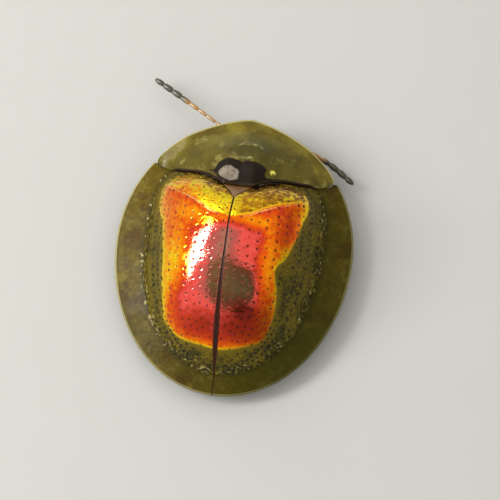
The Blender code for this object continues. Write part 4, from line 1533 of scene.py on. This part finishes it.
# The dark card that the shield mirrors: what it faces, the way to it, its distance and its half widths
CARD_TARGET = Vector((0, TAIL_Y - 3.0, 3.2))
CARD_WAY = Vector((-0.176, 0.56, 0.81))
CARD_DISTANCE = 60
CARD_HALF_WIDTHS = (44, 31)

# What the lights aim at, their distance, and the ways to both ends of the arc that the key lies along
HEART = Vector((0.0, TAIL_Y - 3.6, 2.6))
KEY_HIGH = Vector((0.42, -0.2, 0.88))
KEY_LOW = Vector((0.9, 0.31, 0.3))
LIGHT_DISTANCE = 80


def square_to(back, along):
    """The way nearest to along that is square to back."""
    along = Vector(along)
    return (along - back * along.dot(back)).normalized()


def put_at(obj, where, right, up, back):
    """Puts obj at where, in millimetres, with its axes along these ways."""
    turn = Matrix((right, up, back)).transposed().to_4x4()
    obj.matrix_world = Matrix.Translation(where * MM) @ turn


def aim(obj, where, target, along=(0, 0, 1)):
    """Puts obj at where with its -Z axis towards target and its Y axis near along."""
    back = (where - target).normalized()
    up = square_to(back, along)
    put_at(obj, where, up.cross(back), up, back)


def soft_light(name, offset, width, height, radiance, colour, along=(0, 0, 1)):
    """A rectangular soft light, of a set radiance, aimed at the beetle. The camera doesn't see it."""
    lamp = bpy.data.lights.new(name, "AREA")
    lamp.shape = "RECTANGLE"
    lamp.size = width * MM
    lamp.size_y = height * MM
    lamp.energy = radiance * math.pi * width * height * MM * MM
    lamp.color = colour
    obj = new_object(name, lamp)
    obj.visible_camera = False
    aim(obj, HEART + offset, HEART, along)
    return obj


def make_floor(look):
    corners = np.array([(-1, -1, 0), (1, -1, 0), (1, 1, 0), (-1, 1, 0)]) * look.floor_size / 2
    mesh = new_mesh("floor", corners, np.array([(0, 1, 2, 3)]))
    finish, n, shader = new_finish("plain_floor")
    grey = tuple(look.floor_colour)
    colour = n.mix(n.noise(0.4, 2.0), grey, tuple(v * 0.97 for v in grey))
    n.fill(shader, {"Base Color": colour, "Roughness": 0.9, "Specular IOR Level": 0.1})
    mesh.materials.append(finish)
    new_object("floor", mesh)


def make_card():
    """A plain, unevenly round card over the beetle, which shows only in reflections."""
    rows, columns = 12, 40
    reach = np.linspace(0, 1, rows)[:, None]
    angle = np.linspace(0, TAU, columns, endpoint=False)[None]
    reach = reach * (1 + 0.1 * np.cos(2 * angle + 0.5) + 0.05 * np.cos(3 * angle))
    wide, high = CARD_HALF_WIDTHS
    points = np.stack([reach * wide * np.cos(angle), reach * high * np.sin(angle), 0 * reach], -1) * MM
    mesh = new_mesh("dark_card", points.reshape(-1, 3), grid_quads(rows, columns, True))
    finish, n, shader = new_finish("dark_card")
    colour = n.mix(n.noise(0.04), paint(106, 152, 104), paint(142, 192, 132))
    n.fill(shader, {"Base Color": colour, "Roughness": 1.0})
    mesh.materials.append(finish)
    card = new_object("dark_card", mesh)
    aim(card, CARD_TARGET + CARD_WAY.normalized() * CARD_DISTANCE, CARD_TARGET, (0, -1, 0))
    card.visible_camera = False
    card.visible_shadow = False
    card.visible_diffuse = False


def make_lights():
    """A light overhead, a key strip, a sheen that lies on it and shows only in reflections, and a glint."""
    top = soft_light("overhead_soft", Vector((14, -18, 105)), 150, 150, 0.35, (1.0, 0.985, 0.96), (0, 1, 0))
    top.visible_glossy = False
    key = (KEY_HIGH + KEY_LOW).normalized() * LIGHT_DISTANCE
    arc = KEY_HIGH - KEY_LOW
    soft_light("key_strip", key, 22, 58, 15.0, (1.0, 0.98, 0.95), arc)
    sheen = soft_light("key_sheen", key * 0.98, 20, 62, 26.0, (1.0, 1.0, 0.98), arc)
    sheen.visible_diffuse = False
    glint = Vector((0.4, -0.73, 0.55)) * LIGHT_DISTANCE
    soft_light("front_glint", glint, 34, 34, 2.6, (1.0, 0.97, 0.85))


def make_world(scene):
    """A plain studio all round, dim below and pale above."""
    scene.world = bpy.data.worlds.new("soft_studio")
    scene.world.use_nodes = True
    n = Nodes(scene.world.node_tree)
    way = n.add("ShaderNodeSeparateXYZ", {0: n.add("ShaderNodeTexCoord").outputs["Generated"]}).outputs
    lean = n.math("ADD", n.times(way[0], 0.5), way[2])
    colour = n.mix(n.step(lean, -0.8, 0.25), (0.26, 0.26, 0.24), (0.97, 0.95, 0.88))
    n.fill(n.tree.nodes["Background"].inputs, {"Color": colour, "Strength": 0.95})


def make_camera(scene, look):
    """The photo's view: from above and a little behind, rolled a little."""
    lens = bpy.data.cameras.new("camera")
    lens.lens = look.focal_length
    lens.sensor_width = 36
    lens.clip_start = 0.002
    lens.clip_end = 5
    back = CAMERA_BACK.normalized()
    ahead = square_to(back, CAMERA_AHEAD)
    across = ahead.cross(back)
    cosine, sine = CAMERA_ROLL
    right = across * cosine + ahead * sine
    up = ahead * cosine - across * sine
    scene.camera = new_object("camera", lens)
    put_at(scene.camera, CAMERA_TARGET + back * look.camera_distance / MM, right, up, back)


class BEETLE_OT_stage(bpy.types.Operator):
    """Make the floor, the lights and the camera"""

    bl_idname = "beetle.stage"
    bl_label = "Stage"

    def execute(self, context):
        look = context.scene.stage_look
        make_floor(look)
        make_card()
        make_lights()
        make_world(context.scene)
        make_camera(context.scene, look)
        context.scene.view_settings.view_transform = "Standard"
        return {"FINISHED"}


class BEETLE_PT_panel(bpy.types.Panel):
    """The beetle's sizes, colours and pieces, in the sidebar"""

    bl_idname = "BEETLE_PT_panel"
    bl_label = "Golden Tortoise Beetle"
    bl_space_type = "VIEW_3D"
    bl_region_type = "UI"
    bl_category = "Beetle"

    def draw(self, context):
        for owner in (context.scene.shell_look, context.scene.body_look, context.scene.stage_look):
            box = self.layout.box()
            for name in owner.__annotations__:
                box.prop(owner, name)
        for operator in OPERATORS:
            self.layout.operator(operator.bl_idname)


LOOKS = (("shell_look", ShellLook), ("body_look", BodyLook), ("stage_look", StageLook))
OPERATORS = (
    BEETLE_OT_stage,
    BEETLE_OT_elytra,
    BEETLE_OT_pronotum,
    BEETLE_OT_scutellum,
    BEETLE_OT_trunk,
    BEETLE_OT_head,
    BEETLE_OT_feelers,
    BEETLE_OT_legs,
)


def register():
    for name, group in LOOKS:
        bpy.utils.register_class(group)
        setattr(bpy.types.Scene, name, bpy.props.PointerProperty(type=group))
    for operator in OPERATORS:
        bpy.utils.register_class(operator)
    bpy.utils.register_class(BEETLE_PT_panel)


def unregister():
    bpy.utils.unregister_class(BEETLE_PT_panel)
    for operator in reversed(OPERATORS):
        bpy.utils.unregister_class(operator)
    for name, group in LOOKS:
        delattr(bpy.types.Scene, name)
        bpy.utils.unregister_class(group)


def main():
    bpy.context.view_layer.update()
    register()
    build_groups()
    bpy.ops.beetle.stage()
    bpy.ops.beetle.elytra()
    bpy.ops.beetle.pronotum()
    bpy.ops.beetle.scutellum()
    bpy.ops.beetle.trunk()
    bpy.ops.beetle.head()
    bpy.ops.beetle.feelers()
    bpy.ops.beetle.legs()


if __name__ == "__main__":
    main()
